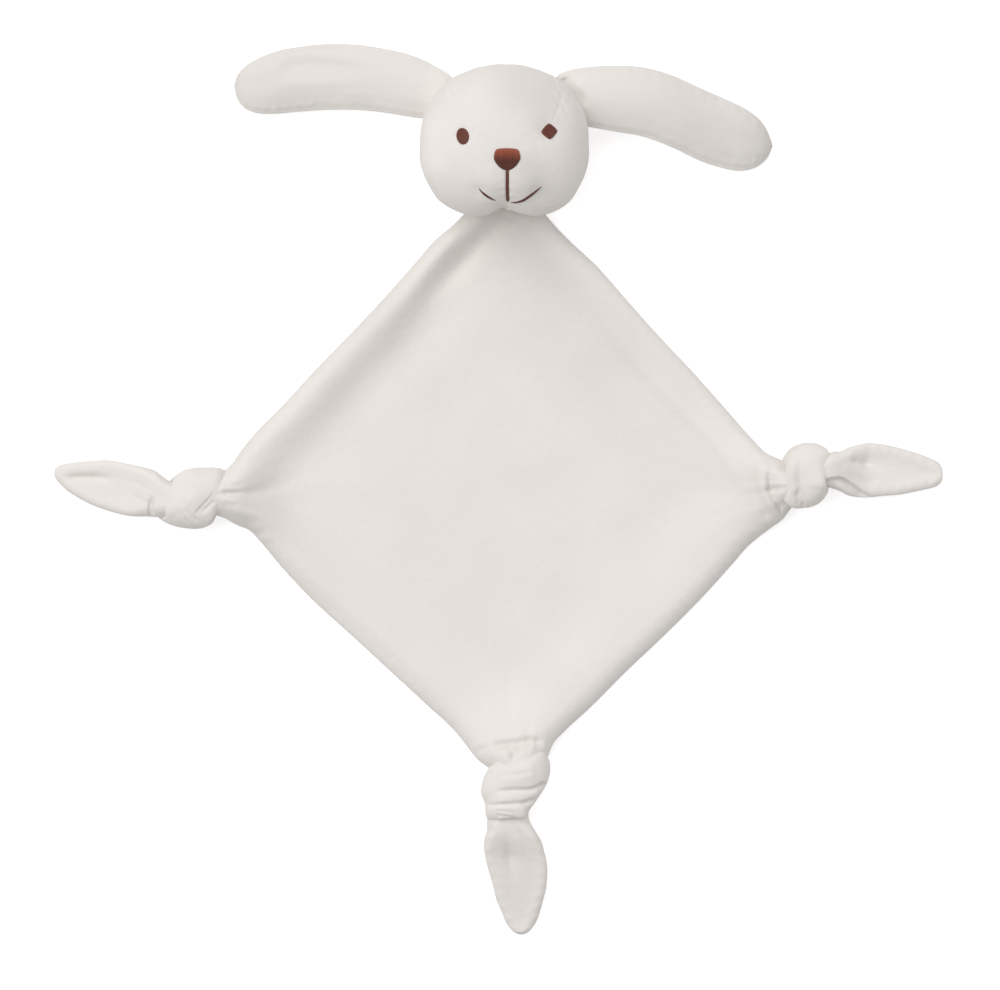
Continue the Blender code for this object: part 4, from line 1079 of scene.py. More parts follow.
def stitched(name, middles, ways, halves, nodes, material=thread):
    """Satin stitch along a line on the face: at each middle the thread lies along its way, as
    far as its half length. Round a thread goes an angle: its cosine is the place along the
    thread, and its sine the height, ridged by how far along the line the thread lies."""
    run = np.concatenate([[0], np.cumsum(np.linalg.norm(np.diff(middles, axis=0), axis=1))])
    ridge = 0.72 + 0.28 * np.abs(np.sin(math.pi * run / THREAD_STEP))
    round_it = np.linspace(0, 2 * math.pi, 28, endpoint=False)
    along = np.sign(np.cos(round_it)) * np.abs(np.cos(round_it)) ** 0.8
    flat = middles[:, None] + (halves[:, None] * along[None])[..., None] * ways[:, None]
    sine = np.sin(round_it)[None]
    full = np.clip(halves / THREAD_FULL, 0.25, 1)[:, None]
    raised = THREAD_LIFT * ridge[:, None] * full * np.abs(sine) ** 0.6
    height = np.where(sine > 0, raised, THREAD_ROOT * np.abs(sine))
    way = face_direction(flat[..., 0], flat[..., 1])
    points = head_cloth(way) + height[..., None] * way
    piece = closed_tube(name, points)
    dress(piece, material, "brown_thread", "head", *nodes)


# %% Eyes
def patch(name, middle, half_width, half_height, lean, node):
    """A filled shape: half_width is the thread's half length as a function of the share from
    the shape's lower end, -1, to its upper end, 1."""
    count = int(2 * half_height * MM / (THREAD_STEP / RINGS_PER_THREAD))
    share = np.linspace(-1, 1, count)
    up = np.array([math.sin(math.radians(lean)), math.cos(math.radians(lean))])
    middles = np.array(middle) * MM + share[:, None] * half_height * MM * up
    ways = np.tile([up[1], -up[0]], (count, 1))
    stitched(name, middles, ways, half_width(share) * MM, [node])


def oval(half):
    """The half width of an ellipse."""
    return lambda share: half * np.sqrt(np.clip(1 - share**2, 0.01, 1))


def diamond(half):
    """The half width of a square that stands on its corner, with its corners rounded."""
    return lambda share: half * np.clip(1 - np.abs(share) ** 1.35, 0.01, 1) ** 0.85


patch("stitched_left_eye", (-16.2, 1.4), oval(2.5), 3.3, -8, "left_eye")
patch("stitched_right_eye", (18.2, 3.3), diamond(3.2), 3.2, -4, "right_eye")

# %% Nose
NOSE_HALF = 5.2
NOSE_MIDDLE = (1.4, -7.6)
NOSE_ABOVE, NOSE_BELOW = 4.2, -4.6

share = np.linspace(-1, 1, int(2 * NOSE_HALF * MM / (THREAD_STEP / RINGS_PER_THREAD)))
above = NOSE_ABOVE * (1 - 0.1 * share**2) * np.clip(1 - np.abs(share) ** 9, 0.02, 1) ** 0.4
below = NOSE_BELOW * np.clip(1 - share**2, 0.01, 1) ** 0.8
middles = np.stack([NOSE_MIDDLE[0] + NOSE_HALF * share, NOSE_MIDDLE[1] + (above + below) / 2],
                   axis=1) * MM
upwards = np.tile([0.0, 1.0], (len(share), 1))
stitched("stitched_nose", middles, upwards, (above - below) / 2 * MM, ["nose"], nose_thread)


# %% Lip and mouth
def stitched_line(name, points, width, node, taper):
    """A narrow satin line: its threads lie across the line through these points, and it
    tapers towards both ends over the given millimetres."""
    points = np.array(points, float) * MM
    length = np.linalg.norm(np.diff(points, axis=0), axis=1).sum()
    share = np.linspace(0, 1, int(length / (THREAD_STEP / RINGS_PER_THREAD)))
    line = by_length(points, share)
    heading = np.gradient(line, axis=0)
    heading /= np.linalg.norm(heading, axis=1)[:, None]
    narrow = np.clip(np.minimum(share, 1 - share) * length / (taper * MM), 0.1, 1) ** 0.5
    sideways = np.stack([-heading[:, 1], heading[:, 0]], axis=1)
    stitched(name, line, sideways, narrow * width / 2 * MM, [node])


stitched_line("stitched_lip", [(1.5, -11.6), (1.5, -16), (1.5, -20), (1.7, -24.6)],
              1.3, "lip_line", 0.7)
stitched_line("stitched_mouth_left",
              [(-9.8, -19.4), (-8.4, -21.0), (-6.6, -22.4), (-4.8, -23.5), (-3.2, -24.2)],
              0.8, "mouth_left", 3.0)
stitched_line("stitched_mouth_right",
              [(3.0, -25.0), (5.2, -24.9), (7.6, -24.2), (10.2, -22.6), (12.6, -20.8),
               (15.0, -18.8)],
              0.9, "mouth_right", 5.0)

# %% [markdown]
# ## The ears
# An ear is two velour leaves sewn together, turned, and lightly stuffed: thick in the middle,
# thin at its seam. Its cross-section is a closed loop whose two sides are the seam. The upper
# and lower edges are lines through points measured on the photograph, from the root to the tip.
# The stuffing pushes it out as it does the head.

# %% Ear form
# Edges and folds in mm on the table.
EARS = {
    "left_ear": {
        "upper": [(-19.5, 158.5), (-21.5, 162.6), (-27.0, 166.4), (-31.4, 168.8),
                  (-39.0, 171.8), (-48.6, 174.0), (-58.2, 175.5), (-70.0, 176.0),
                  (-83.0, 174.8), (-92.6, 172.8), (-99.0, 170.2), (-104.4, 166.8),
                  (-107.4, 163.2), (-108.6, 159.4)],
        "lower": [(-27.5, 146.5), (-32.0, 146.0), (-35.5, 146.3), (-39.0, 146.8),
                  (-43.8, 147.6), (-48.6, 148.4), (-58.2, 149.4), (-70.0, 149.6),
                  (-83.0, 148.8), (-92.6, 148.0), (-99.0, 148.2), (-104.0, 150.0),
                  (-107.4, 154.2), (-108.6, 159.4)],
        "folds": [
            (-3.0, 3.6, 0.25, 0.4, [(-98, 162.6), (-88, 165.9), (-74, 166.7), (-60, 165.6),
                                    (-46, 164.4)]),
            (0.5, 2.6, 0.3, 0.3, [(-66, 156.5), (-60, 155.9), (-52, 155.4)]),
        ],
    },
    "right_ear": {
        "upper": [(18.5, 158.0), (21.0, 163.4), (25.0, 165.2), (29.8, 166.2), (38.0, 167.0),
                  (45.8, 167.2), (55.0, 166.6), (65.0, 164.0), (77.8, 158.4), (88.0, 153.9),
                  (97.0, 149.4), (101.8, 145.6), (105.0, 140.6), (106.9, 135.2)],
        "lower": [(26.0, 143.5), (31.0, 142.9), (34.5, 142.4), (38.6, 141.7), (45.8, 140.4),
                  (52.2, 139.5), (60.0, 137.2), (68.0, 133.9), (77.8, 129.2), (86.0, 126.5),
                  (94.0, 125.2), (100.2, 126.6), (104.6, 130.2), (106.9, 135.2)],
        "folds": [
            (-0.7, 4.5, 0.4, 0.4, [(54, 142.5), (62, 145.8), (72, 147.0)]),
            (-0.8, 2.0, 0.1, 0.5, [(25.4, 157.0), (29.0, 154.0), (34.0, 152.0)]),
            (-2.4, 1.8, 0.05, 0.4, [(22.4, 162.8), (25.6, 159.4), (29.4, 155.0), (32.4, 149.0)]),
        ],
    },
}
EAR_RINGS, EAR_COLUMNS = 110, 96
EAR_HALF_THICKNESS = 5.0 * MM
EAR_HALF_WIDTH = 13 * MM
EAR_ROOT_HEIGHT = 20.0 * MM
EAR_LIES_FROM = 0.72
EAR_SEAM_DENT = 1.2 * MM
EAR_PUCKER, EAR_PUCKER_STEP = 0.16 * MM, 4.8 * MM
EAR_PUCKER_INSIDE, EAR_PUCKER_WIDTH = 1.8 * MM, 1.7 * MM
EAR_UNDER = 0.35 * MM


def ear_surface(upper, lower, folds):
    """Rings round the ear from its root to its tip. Station runs along both edges together, and
    the angle's cosine is the place across, from the lower to the upper seam. The thickness
    there is the root of 1 minus that place squared, and the ear comes down from its root to
    the table in an S-curve."""
    station = np.sin(np.linspace(0, math.pi / 2, EAR_RINGS))
    high = by_length(np.array(upper) * MM, station)
    low = by_length(np.array(lower) * MM, station)
    turn = np.linspace(0, 2 * math.pi, EAR_COLUMNS, endpoint=False)
    across = np.cos(turn)[None]
    middle = (high + low) / 2
    half = (high - low) / 2
    flat = middle[:, None] + half[:, None] * across[..., None]
    width = np.linalg.norm(half, axis=1)[:, None]
    run = station[:, None]
    puff = EAR_HALF_THICKNESS * np.clip(width / EAR_HALF_WIDTH, 0, 1) ** 0.8
    puff = puff * (1 + 0.2 * (1 - smooth(run / 0.25)))
    thick = puff * np.clip(1 - across**2, 0, 1) ** 0.5
    near_seam = (1 - np.abs(across)) * width
    thick = thick * (1 - 0.25 * bell(near_seam, EAR_SEAM_DENT))
    length = np.linalg.norm(np.diff(middle, axis=0), axis=1).sum()
    pucker = np.sin(2 * math.pi * run * length / EAR_PUCKER_STEP + 2 * np.sin(8 * run))
    thick = thick + EAR_PUCKER * pucker * bell(near_seam - EAR_PUCKER_INSIDE, EAR_PUCKER_WIDTH)
    rest = puff + EAR_UNDER
    height = rest + (EAR_ROOT_HEIGHT - rest) * (1 - smooth(run / EAR_LIES_FROM))
    wave = 0.35 * np.sin(5.5 * run + 1.7 * across) + 0.25 * np.sin(11 * run - 2.1 * across + 1)
    above = np.sin(turn)[None] > 0
    top = thick + MM * wave * bell(across, 0.8) * smooth(run / 0.2) * smooth((1 - run) / 0.2)
    top = top + relief(flat[..., 0], flat[..., 1], folds) * smooth((1 - np.abs(across)) / 0.2)
    z = height + np.where(above, top, -thick)
    return np.concatenate([flat, z[..., None]], axis=-1)


# %% Stuffed ears
EAR_SWELLS = 1.2 * MM
EAR_COARSE_ROWS, EAR_COARSE_STEPS = 30, 8
EAR_TIP_RINGS = 8
EAR_WAY_RING = 25

for name, shape_of_ear in EARS.items():
    rings = ear_surface(**shape_of_ear)
    half_way = EAR_COLUMNS // 2
    columns = np.concatenate([panel_columns(0, half_way, EAR_COARSE_STEPS),
                              panel_columns(half_way, EAR_COLUMNS, EAR_COARSE_STEPS)])
    rings = swelled("stuffed_" + name, rings, EAR_COARSE_ROWS, columns, [0, half_way],
                    EAR_SWELLS, EAR_TIP_RINGS)
    ear = closed_tube(name + "_cover", rings)
    dress(ear, velour, "cream_velour", None, name + "_front", name + "_back",
          name + "_filling")
    root = rings[0].mean(axis=0)
    out = rings[EAR_WAY_RING].mean(axis=0) - root
    out[2] = 0
    out /= np.linalg.norm(out)
    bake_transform(ear)

# %% [markdown]
# ## The knots
# Each corner of the cloth is twisted into a strand and tied once. A real overhand knot is made
# here by its textbook curve, t to the fifth minus 10 t, t to the fourth minus 4 t squared, and
# t cubed minus 3 t, which is then pulled by its ends until its turns touch, just as in the CAD
# model. Along that path goes a wide flat band, because a gathered corner is no rope: its thin
# side faces outwards and its wrinkles run along it. The touching turns are then fused into one
# skin by a voxel remesh, which leaves a crease wherever two turns meet.

# %% Pull the knot tight
# All but the strand's width are counted in strand widths.
KNOT_POINTS = 90
KNOT_SPACING = 0.19
KNOT_BEND = 0.6
KNOT_PULLS = 700
KNOT_MENDS = 4
STRAND = 8.0 * MM


def pull_tight():
    """The knot's path in strand widths. Each step shortens the line, pulls its ends apart and
    moves any two points that are nearer than one strand away from each other. Points that are
    close along the line may be nearer: as near as the chord of the tightest bend. At the end
    the path is averaged with itself turned half round, because a tight knot is symmetric."""
    t = np.linspace(-2.3, 2.3, 1500)
    loose = np.stack([t**5 - 10 * t, 2.6 * (t**4 - 4 * t**2), 4.5 * (t**3 - 3 * t)], axis=1)
    path = by_length(loose * 0.16, np.linspace(0, 1, KNOT_POINTS))
    spacing = np.linalg.norm(np.diff(path, axis=0), axis=1).mean()
    path -= path.mean(axis=0)
    first, second = np.triu_indices(KNOT_POINTS, 2)
    for _ in range(KNOT_PULLS):
        spacing = max(KNOT_SPACING, spacing * 0.997)
        arc = (second - first) * spacing
        curved = 2 * KNOT_BEND * np.sin(np.minimum(arc, math.pi * KNOT_BEND) / (2 * KNOT_BEND))
        least = np.where(arc < math.pi * KNOT_BEND, 0.985 * curved, 1.0)
        path[[0, -1], 0] += [-0.012, 0.012]
        path[[0, -1], 1:] *= 0.98
        for _ in range(KNOT_MENDS):
            for start in (0, 1):
                index = np.arange(start, KNOT_POINTS - 1, 2)
                link = path[index + 1] - path[index]
                length = np.linalg.norm(link, axis=1)
                mend = (0.5 * (length - spacing) / length)[:, None] * link
                path[index] += mend
                path[index + 1] -= mend
            apart = path[second] - path[first]
            distance = np.linalg.norm(apart, axis=1)
            close = np.flatnonzero(distance < least)
            push = (0.25 * (least[close] - distance[close]) / distance[close])[:, None]
            push = push * apart[close]
            for axis in range(3):
                path[:, axis] += np.bincount(second[close], push[:, axis], KNOT_POINTS)
                path[:, axis] -= np.bincount(first[close], push[:, axis], KNOT_POINTS)
    return 0.5 * (path + path[::-1] * np.array([-1, 1, -1]))


knot_path = pull_tight()
knot_half = np.abs(knot_path[np.abs(knot_path[:, 2]) > KNOT_BEND, 0]).max() * STRAND
print("knot: half its length in mm:", round(knot_half / MM, 2))

# %% The strand's line
KNOT_REACH = 15.0 * MM
KNOT_STUB = 0.5 * MM
BAND_STEPS = 260


def local_strand(hand):
    """The strand's line in the knot's own frame: out along the corner, across it, and up. The
    second result is 0 in the knot and goes to 1 where the strand runs free of it. The line is
    averaged over 13 of its points under a bell."""
    kept = knot_path[np.abs(knot_path[:, 0]) * STRAND < knot_half + KNOT_STUB]
    line = by_length(kept, np.linspace(0, 1, BAND_STEPS)) * STRAND
    straight = smooth((np.abs(line[:, 0]) - knot_half) / (KNOT_REACH - knot_half))
    line[:, 1:] *= (1 - straight)[:, None]
    line = line[:, [0, 2, 1]] * np.array([1, hand, 1])
    kernel = np.exp(-np.linspace(-2, 2, 13) ** 2)
    padded = np.concatenate([line[:1].repeat(6, 0), line, line[-1:].repeat(6, 0)])
    smoothed = [np.convolve(padded[:, axis], kernel / kernel.sum(), "valid") for axis in range(3)]
    return np.stack(smoothed, axis=1), straight


print("strand in a knot, end to end in mm:", np.ptp(local_strand(1)[0][:, 0]).round(4) / MM)


# %% Which way the band faces
BAND_UP = 9 * MM


def band_frame(line, straight):
    """At each point of the line: its heading, and the direction out of the band's broad face.
    That direction points away from the knot's core, and up where the strand runs free. Twice
    its angle is averaged along the line, because a band looks the same from both sides."""
    heading = np.gradient(line, axis=0)
    heading /= np.linalg.norm(heading, axis=1)[:, None]
    side = np.zeros_like(line)
    side[0] = (0, 1, 0)
    for index in range(1, len(line)):
        carried = side[index - 1] - heading[index] * (side[index - 1] @ heading[index])
        side[index] = carried / np.linalg.norm(carried)
    rise = np.cross(heading, side)
    core = np.array([0, 0, line[:, 2].mean() * 0.3])
    outward = (line - core) * np.array([0.0, 1, 1])
    wished = outward * (1 - straight)[:, None] + np.array([0, 0, BAND_UP]) * straight[:, None]
    angle = np.arctan2((wished * rise).sum(axis=1), (wished * side).sum(axis=1))
    weight = np.linalg.norm(wished, axis=1) ** 2
    twice = weight * np.exp(2j * angle)
    kernel = np.exp(-np.linspace(-2.2, 2.2, 51) ** 2)
    twice = np.convolve(np.concatenate([twice[:1].repeat(25), twice, twice[-1:].repeat(25)]),
                        kernel, "valid")
    angle = np.unwrap(np.angle(twice)) / 2
    normal = np.cos(angle)[:, None] * side + np.sin(angle)[:, None] * rise
    middle = len(line) // 2
    if normal[middle] @ outward[middle] < 0:
        normal = -normal
    return heading, normal


# %% The three knots
# Middle, outline and folds in mm on the table, the way out of the corner, the knot's hand, and
# the band's half width and half thickness in mm.
KNOTS = {
    "left_knot": {
        "middle": (-121.4, -5.0), "way": (-1, 0), "hand": 1,
        "wide": 10.4, "thick": 5.4,
        "outline": [(-133.9, 1.8), (-129.4, 5.3), (-120.6, 6.9), (-112.4, 5.7), (-111.3, -3.5),
                    (-112.7, -8.8), (-115.3, -12.3), (-117.1, -15.6), (-121.5, -17.7),
                    (-127.6, -17.8), (-134.7, -16.0), (-139.4, -13.0), (-138.4, -8.0),
                    (-136, -2)],
        "folds": [
            (-0.7, 0.8, 0.3, 0.3, [(-122.0, -12.5), (-117.6, -8.2), (-114.6, -4.6)]),
            (-0.5, 0.8, 0.3, 0.2, [(-127.8, -9.0), (-125.6, -12.6), (-122.4, -15.6)]),
            (-0.4, 0.7, 0.3, 0.3, [(-130.0, -10.0), (-128.6, -13.4), (-126.0, -16.4)]),
            (0.7, 3.4, 0.2, 0.2, [(-124.0, 5.0), (-123.0, -2.0), (-127.0, -9.0)]),
        ],
        "laps": [
            (-1.0, 2.4, 0.3, 0.5, [(-125.4, -12.4), (-121.5, -7.9), (-118.0, -4.0),
                                   (-116.4, -0.6)]),
            (-1.6, 2.2, 0.1, 0.4, [(-118.8, -16.6), (-115.6, -11.9), (-112.9, -7.6),
                                   (-112.2, -3)]),
        ],
    },
    "right_knot": {
        "middle": (121.8, 3.0), "way": (1, 0), "hand": -1,
        "wide": 10.0, "thick": 5.4,
        "outline": [(110.4, 10.0), (113.4, 14.0), (119.3, 16.6), (125.2, 16.0), (128.8, 13.6),
                    (130.0, 8.0), (129.2, 2.5), (129.0, -2.8), (126.9, -6.4), (123.4, -9.0),
                    (119.0, -9.8), (114.6, -9.7), (111.4, -7.0), (110.0, -2.0), (109.6, 4.3)],
        "folds": [
            (-0.8, 0.8, 0.2, 0.3, [(117.0, -9.4), (116.4, -5.0), (117.2, -1.4)]),
            (0.9, 3.4, 0.2, 0.2, [(123.0, 13.0), (124.2, 5.0), (124.0, -3.0)]),
            (0.6, 2.0, 0.2, 0.2, [(114.8, 11.0), (114.8, 3.0), (116.0, -5.0)]),
        ],
        "laps": [
            (-1.5, 3.0, 0.6, 0.05, [(118.6, 10.0), (118.3, 1.4), (119.0, -4.6), (120.2, -9.6)]),
        ],
    },
    "foot_knot": {
        "middle": (4.8, -119.6), "way": (0, -1), "hand": -1,
        "wide": 10.4, "thick": 5.4,
        "outline": [(-6.5, -113.0), (-9.2, -118.1), (-9.9, -124.0), (-8.4, -127.7),
                    (-7.8, -133.0), (-4.0, -136.4), (2.0, -137.2), (8.6, -134.6), (9.4, -131.0),
                    (12.3, -126.7), (16.0, -121.0), (18.0, -115.2), (17.5, -110.2),
                    (15.0, -106.8), (8.0, -107.6), (2.0, -109.4), (-2.6, -110.6)],
        "folds": [
            (-1.7, 1.0, 0.35, 0.1, [(-5.5, -122.8), (2.7, -122.4), (12.3, -121.7),
                                    (16.6, -119.3)]),
            (-1.4, 0.9, 0.2, 0.1, [(-8.0, -128.4), (2.7, -127.9), (8.9, -127.2),
                                   (12.4, -125.8)]),
            (-0.6, 0.7, 0.2, 0.3, [(-4.0, -132.2), (1.5, -133.2), (6.0, -133.9)]),
            (-0.4, 0.7, 0.3, 0.3, [(-5.6, -130.4), (-0.5, -130.8), (4.5, -131.4)]),
            (-0.5, 1.2, 0.3, 0.3, [(-4.0, -117.0), (5.0, -116.0), (13.0, -114.0)]),
            (0.9, 3.2, 0.2, 0.2, [(-3.0, -117.5), (5.0, -116.5), (13.0, -114.5)]),
        ],
        "laps": [],
    },
}


print("knots:", len(KNOTS))


# %% Band round the knot
CROSSING_WIDTH = 0.34
BAND_NARROW, BAND_WIDENS = 0.62, 0.38
BAND_THIN, BAND_THICKENS = 0.86, 0.14
BAND_WRINKLE = 0.3 * MM
BAND_COLUMNS = 72


def to_world(local, middle, way):
    """A knot's own frame (out, across, up) as the row frame, at the strand's height."""
    out = np.array([way[0], way[1], 0.0])
    across = np.array([-way[1], way[0], 0.0])
    base = np.array([middle[0] * MM, middle[1] * MM, STRAND_HEIGHT])
    return base + local[..., :1] * out + local[..., 1:2] * across + local[..., 2:] * (0, 0, 1.0)


def knot_rings(hand, wide, thick):
    """Rings of the band. An angle goes round the strand: its sine is the place across the band
    and its cosine the height out of it. The band is widest where it crosses itself, and two
    slow waves wrinkle it."""
    line, straight = local_strand(hand)
    heading, normal = band_frame(line, straight)
    broad = np.cross(heading, normal)
    run = np.linspace(-1, 1, len(line))[:, None]
    turn = np.linspace(0, 2 * math.pi, BAND_COLUMNS, endpoint=False)[None]
    crossing = bell(run, CROSSING_WIDTH)
    half = (BAND_NARROW + BAND_WIDENS * crossing) * wide * MM
    deep = (BAND_THIN + BAND_THICKENS * crossing) * thick * MM
    deep = deep * (1 - 0.25 * straight[:, None])
    height = deep * np.cos(turn)
    height = height + BAND_WRINKLE * np.sin(3 * turn + 3 * run) * np.sin(6 * run + 2 * turn)
    points = line[:, None] + (half * np.sin(turn))[..., None] * broad[:, None]
    return points + height[..., None] * normal[:, None]


# %% Fused and pressed knots
VOXEL = 0.5 * MM
KNOT_SINKS = 0.24
KNOT_LOWEST = 0.35 * MM
SECTORS = 90


def press(piece, outline, folds, laps):
    """Moves the points of a fused knot. Its top sinks a little under its own weight. Seen from
    above each point is drawn out or in along its bearing from the middle, so that the knot's
    border, its furthest point in each of 90 sectors, follows the outline. The folds are
    pressed into the side that faces up."""
    count = len(piece.data.vertices)
    points, normals = np.empty(count * 3, np.float32), np.empty(count * 3, np.float32)
    piece.data.vertices.foreach_get("co", points)
    points = points.reshape(-1, 3).astype(float)
    wanted = by_length(np.array(outline + outline[:1]) * MM, np.linspace(0, 1, 361))
    middle = wanted[:-1].mean(axis=0)
    offset = points[:, :2] - middle
    far, at = np.hypot(*offset.T), np.arctan2(offset[:, 1], offset[:, 0])
    spread = wanted - middle
    order = np.argsort(np.arctan2(spread[:, 1], spread[:, 0]))
    goal = np.interp(at, np.arctan2(spread[:, 1], spread[:, 0])[order],
                     np.hypot(*spread.T)[order], period=2 * math.pi)
    sector = ((at + math.pi) / (2 * math.pi) * SECTORS).astype(int) % SECTORS
    border = np.zeros(SECTORS)
    np.maximum.at(border, sector, far)
    border = np.interp(at, (np.arange(SECTORS) + 0.5) / SECTORS * 2 * math.pi - math.pi,
                       border, period=2 * math.pi)
    offset *= (1 + (goal / border - 1) * smooth(far / border))[:, None]
    points[:, :2] = middle + offset
    above = np.maximum(points[:, 2] - STRAND_HEIGHT, 0)
    points[:, 2] -= KNOT_SINKS * above
    piece.data.vertices.foreach_set("co", points.astype(np.float32).ravel())
    piece.data.update()
    piece.data.vertex_normals.foreach_get("vector", normals)
    normals = normals.reshape(-1, 3)
    faces_up = smooth((normals[:, 2] + 0.1) / 0.5)
    rise = faces_up * relief(points[:, 0], points[:, 1], folds, laps)
    points += rise[:, None] * normals
    piece.data.vertices.foreach_set("co", points.astype(np.float32).ravel())
    piece.data.update()


for name, facts in KNOTS.items():
    local = knot_rings(facts["hand"], facts["wide"], facts["thick"])
    local[..., 2] = np.maximum(local[..., 2], KNOT_LOWEST - STRAND_HEIGHT)
    knot = closed_tube(name + "_cover", to_world(local, facts["middle"], facts["way"]))
    fuse = knot.modifiers.new("fuse", "REMESH")
    fuse.mode = "VOXEL"
    fuse.voxel_size = VOXEL
    soften = knot.modifiers.new("soften", "SMOOTH")
    soften.factor = 0.6
    soften.iterations = 12
    apply_modifiers(knot)
    press(knot, facts["outline"], facts["folds"], facts["laps"])
    dress(knot, velour, "cream_velour", name, name)

# %% [markdown]
# ## The tails
# Past each knot the corner of the square opens again into a small leaf, hemmed by the same
# turned seam, that droops to the table. Its edges are measured on the photograph. Each leaf is
# creased its own way where it leaves the knot.

# %% The three tails
# The hinge and the folds in mm on the table, the way out of the corner, the knot, and the
# leaf's edges in mm: how far out of the hinge, and how far across to each side. The curl lifts
# both edges by that many mm. Up to the root the leaf is thicker by the bulk.
TAILS = {
    "left_tail": {
        "hinge": (-137.35, -5.0), "way": (-1, 0), "knot": "left_knot",
        "edges": [(-9, 7.0, -6.0), (-4, 7.8, -6.0), (-1, 8.2, -7.6), (2.4, 8.2, -10.2),
                  (5.6, 8.0, -11.4), (12.8, 7.8, -13.0), (20.8, 5.9, -14.5), (28.8, 3.0, -14.3),
                  (36.8, -1.5, -13.4), (40.8, -5.0, -12.6), (42.6, -7.2, -11.4),
                  (43.1, -8.6, -10.2)],
        "folds": [
            (-1.5, 1.5, 0.3, 0.5, [(-177.5, 2.2), (-170.0, 2.6), (-162.0, 2.4), (-154.0, 1.6)]),
            (-2.4, 1.1, 0.1, 0.5, [(-141.6, -13.8), (-141.8, -9.0), (-140.6, -4.0)]),
            (-0.4, 0.8, 0.2, 0.5, [(-142.0, -8.0), (-146.0, -6.0), (-151.0, -3.0)]),
            (-0.4, 1.0, 0.2, 0.5, [(-142.0, -3.0), (-146.5, 0.0), (-152.0, 1.6)]),
        ],
        "laps": [],
        "curl": 0.5, "root": 0.5, "bulk": 5.6,
    },
    "right_tail": {
        "hinge": (137.75, 3.0), "way": (1, 0), "knot": "right_knot",
        "edges": [(-10.5, 8.6, -4.0), (-6.4, 10.0, -5.0), (-3.8, 10.2, -6.0), (0, 11.9, -7.8),
                  (6.4, 13.4, -8.4), (12.8, 13.0, -7.8), (20, 11.4, -7.2), (28, 9.0, -5.6),
                  (33, 7.0, -4.5), (35.4, 5.6, -3.4), (36.6, 3.8, -2.0), (37.0, 2.2, -0.6)],
        "folds": [
            (-0.6, 3.0, 0.2, 0.6, [(141.0, 9.4), (148.0, 8.0), (158.0, 5.0)]),
            (0.5, 1.8, 0.2, 0.4, [(134.0, 7.0), (140.0, 5.2), (148.0, 2.0)]),
        ],
        "laps": [
            (-1.7, 2.6, 0.3, 0.2, [(146.5, 6.6), (143.8, 7.0), (141.0, 7.4), (137.4, 8.8)]),
            (-2.8, 5.0, 0.05, 0.3, [(127.0, 2.0), (129.6, 2.6), (133.8, 3.0), (139.4, 0.0),
                                    (143.8, -3.2), (149.0, -5.6)]),
        ],
        "curl": 0.3, "root": -8.0, "bulk": 5.6,
    },
    "foot_tail": {
        "hinge": (4.8, -135.55), "way": (0, -1), "knot": "foot_knot",
        "edges": [(-10, 5.0, -12.0), (-4, 4.4, -12.4), (-1, 4.8, -12.2), (3, 7.0, -12.4),
                  (7, 9.4, -13.4), (11, 10.6, -13.4), (17, 11.8, -12.2), (25, 11.6, -9.9),
                  (31, 10.2, -8.4), (36, 8.8, -6.2), (40, 7.2, -4.6), (43.4, 4.6, -1.8),
                  (44.6, 2.2, 0.4)],
        "folds": [
            (-2.0, 2.3, 0.5, 0.7, [(0.0, -138.5), (0.4, -143.0), (1.6, -148.0), (3.6, -160.0)]),
            (-0.4, 2.4, 0.2, 0.4, [(2.0, -146.0), (3.6, -155.0), (6.0, -164.0)]),
            (-0.5, 0.9, 0.2, 0.5, [(4.5, -137.5), (7.0, -142.0), (9.0, -150.0)]),
        ],
        "laps": [],
        "curl": 0.4, "root": -1.0, "bulk": 3.8,
    },
}


print("tails:", len(TAILS))

# %% Tail form
TAIL_RINGS, TAIL_COLUMNS = 130, 120
TAIL_HALF = 1.95
TAIL_FULL_WIDTH = 3 * MM
TAIL_OPENS = 17 * MM
TAIL_RESTS = 2.3 * MM
TAIL_FALL_START, TAIL_FALL_LENGTH = -9 * MM, 60 * MM
TAIL_EDGE, TAIL_EDGE_MORE = 2.6, 2.4
TAIL_RIM, TAIL_RIM_INSIDE, TAIL_RIM_WIDTH = 0.4 * MM, 3.2 * MM, 2.4 * MM
TAIL_CURL_END, TAIL_CURL_FADE = 44 * MM, 16 * MM
TAIL_PUCKER, TAIL_PUCKER_STEP, TAIL_PUCKER_INSIDE = 0.12 * MM, 4.6 * MM, 1.6 * MM
TAIL_LOWEST, TAIL_HOLLOW = 0.3 * MM, 0.2 * MM


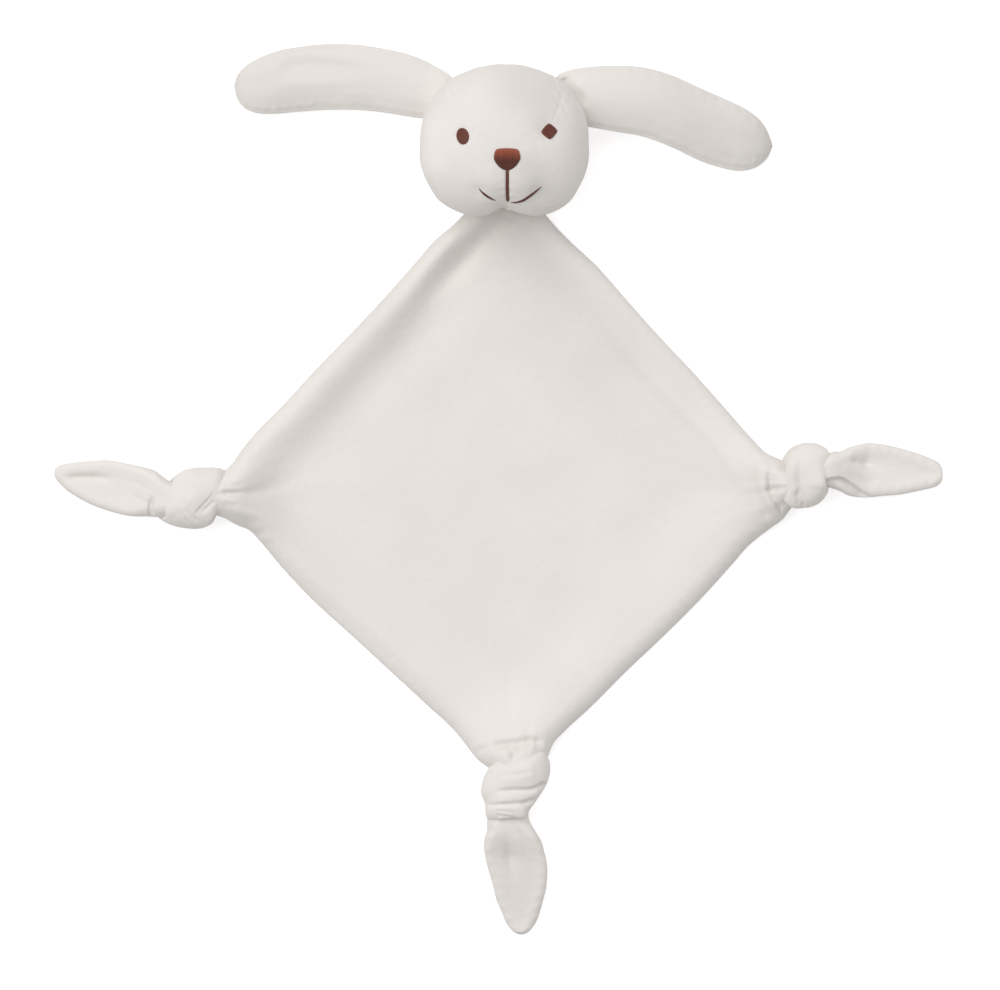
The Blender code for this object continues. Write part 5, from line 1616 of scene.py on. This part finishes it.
def tail_surface(edges, curl, root, bulk):
    """Rings round the leaf in its own frame: out along the corner, across, and up from the
    strand's height; and how rounded off the leaf is at each point, from 0 on its edge to 1.
    The leaf's middle falls from the strand to the table as a share of its length to the power
    1.6. Its half thickness rises from each edge in a quarter circle. Up to the root, in mm, it
    is thicker by the bulk, because the strand that comes out of the knot is a thick one."""
    table = np.array(edges) * MM
    share = 1 - (1 - np.linspace(0, 1, TAIL_RINGS)) ** 1.4
    rows = through(np.linspace(0, 1, len(table)), table, share)
    out, high, low = rows[:, 0:1], rows[:, 1:2], rows[:, 2:3]
    turn = np.linspace(0, 2 * math.pi, TAIL_COLUMNS, endpoint=False)[None]
    place = np.cos(turn) + 0 * out
    across = (high + low) / 2 + (high - low) / 2 * place
    width = (high - low) / 2
    free = smooth((out - root * MM) / TAIL_OPENS)
    drop = (1 - (out - TAIL_FALL_START) / TAIL_FALL_LENGTH) ** 1.6
    half = (TAIL_HALF + bulk * (1 - free)) * MM * np.clip(width / TAIL_FULL_WIDTH, 0.25, 1)
    near = (1 - np.abs(place)) * width
    edge = (TAIL_EDGE + TAIL_EDGE_MORE * (1 - free)) * MM
    rounded = np.sqrt(np.clip(1 - (1 - np.clip(near / edge, 0, 1)) ** 2, 0, 1))
    rim = TAIL_RIM * bell(near - TAIL_RIM_INSIDE, TAIL_RIM_WIDTH) * free
    thick = half * rounded + rim * (np.sin(turn) > 0)
    bend = curl * MM * place**2 * free * smooth((TAIL_CURL_END - out) / TAIL_CURL_FADE)
    middle = (STRAND_HEIGHT - TAIL_RESTS) * drop + TAIL_RESTS + bend
    pucker = TAIL_PUCKER * np.sin(2 * math.pi * out / TAIL_PUCKER_STEP)
    top = thick + pucker * bell(near - TAIL_PUCKER_INSIDE, TAIL_PUCKER_INSIDE)
    z = middle + np.where(np.sin(turn) > 0, top, -thick)
    z = np.maximum(z, TAIL_LOWEST + TAIL_HOLLOW * (1 - np.abs(place)))
    return np.stack([out + 0 * place, across, z - STRAND_HEIGHT], axis=-1), rounded


for name, facts in TAILS.items():
    local, rounded = tail_surface(facts["edges"], facts["curl"], facts["root"], facts["bulk"])
    rings = to_world(local, facts["hinge"], facts["way"])
    middle = rings[..., 2].mean(axis=1)[:, None]
    dip = relief(rings[..., 0], rings[..., 1], facts["folds"], facts["laps"])
    # A fold presses the upper layer in full, and the lower one by less than half.
    rings[..., 2] += dip * np.where(rings[..., 2] > middle, 1, 0.4) * rounded
    rings[..., 2] = np.maximum(rings[..., 2], TAIL_LOWEST)
    tail = closed_tube(name + "_cover", rings)
    dress(tail, velour, "cream_velour", None, name + "_front", name + "_back")
    way = np.array([*facts["way"], 0.0])
    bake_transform(tail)
    declare_cloth(tail)
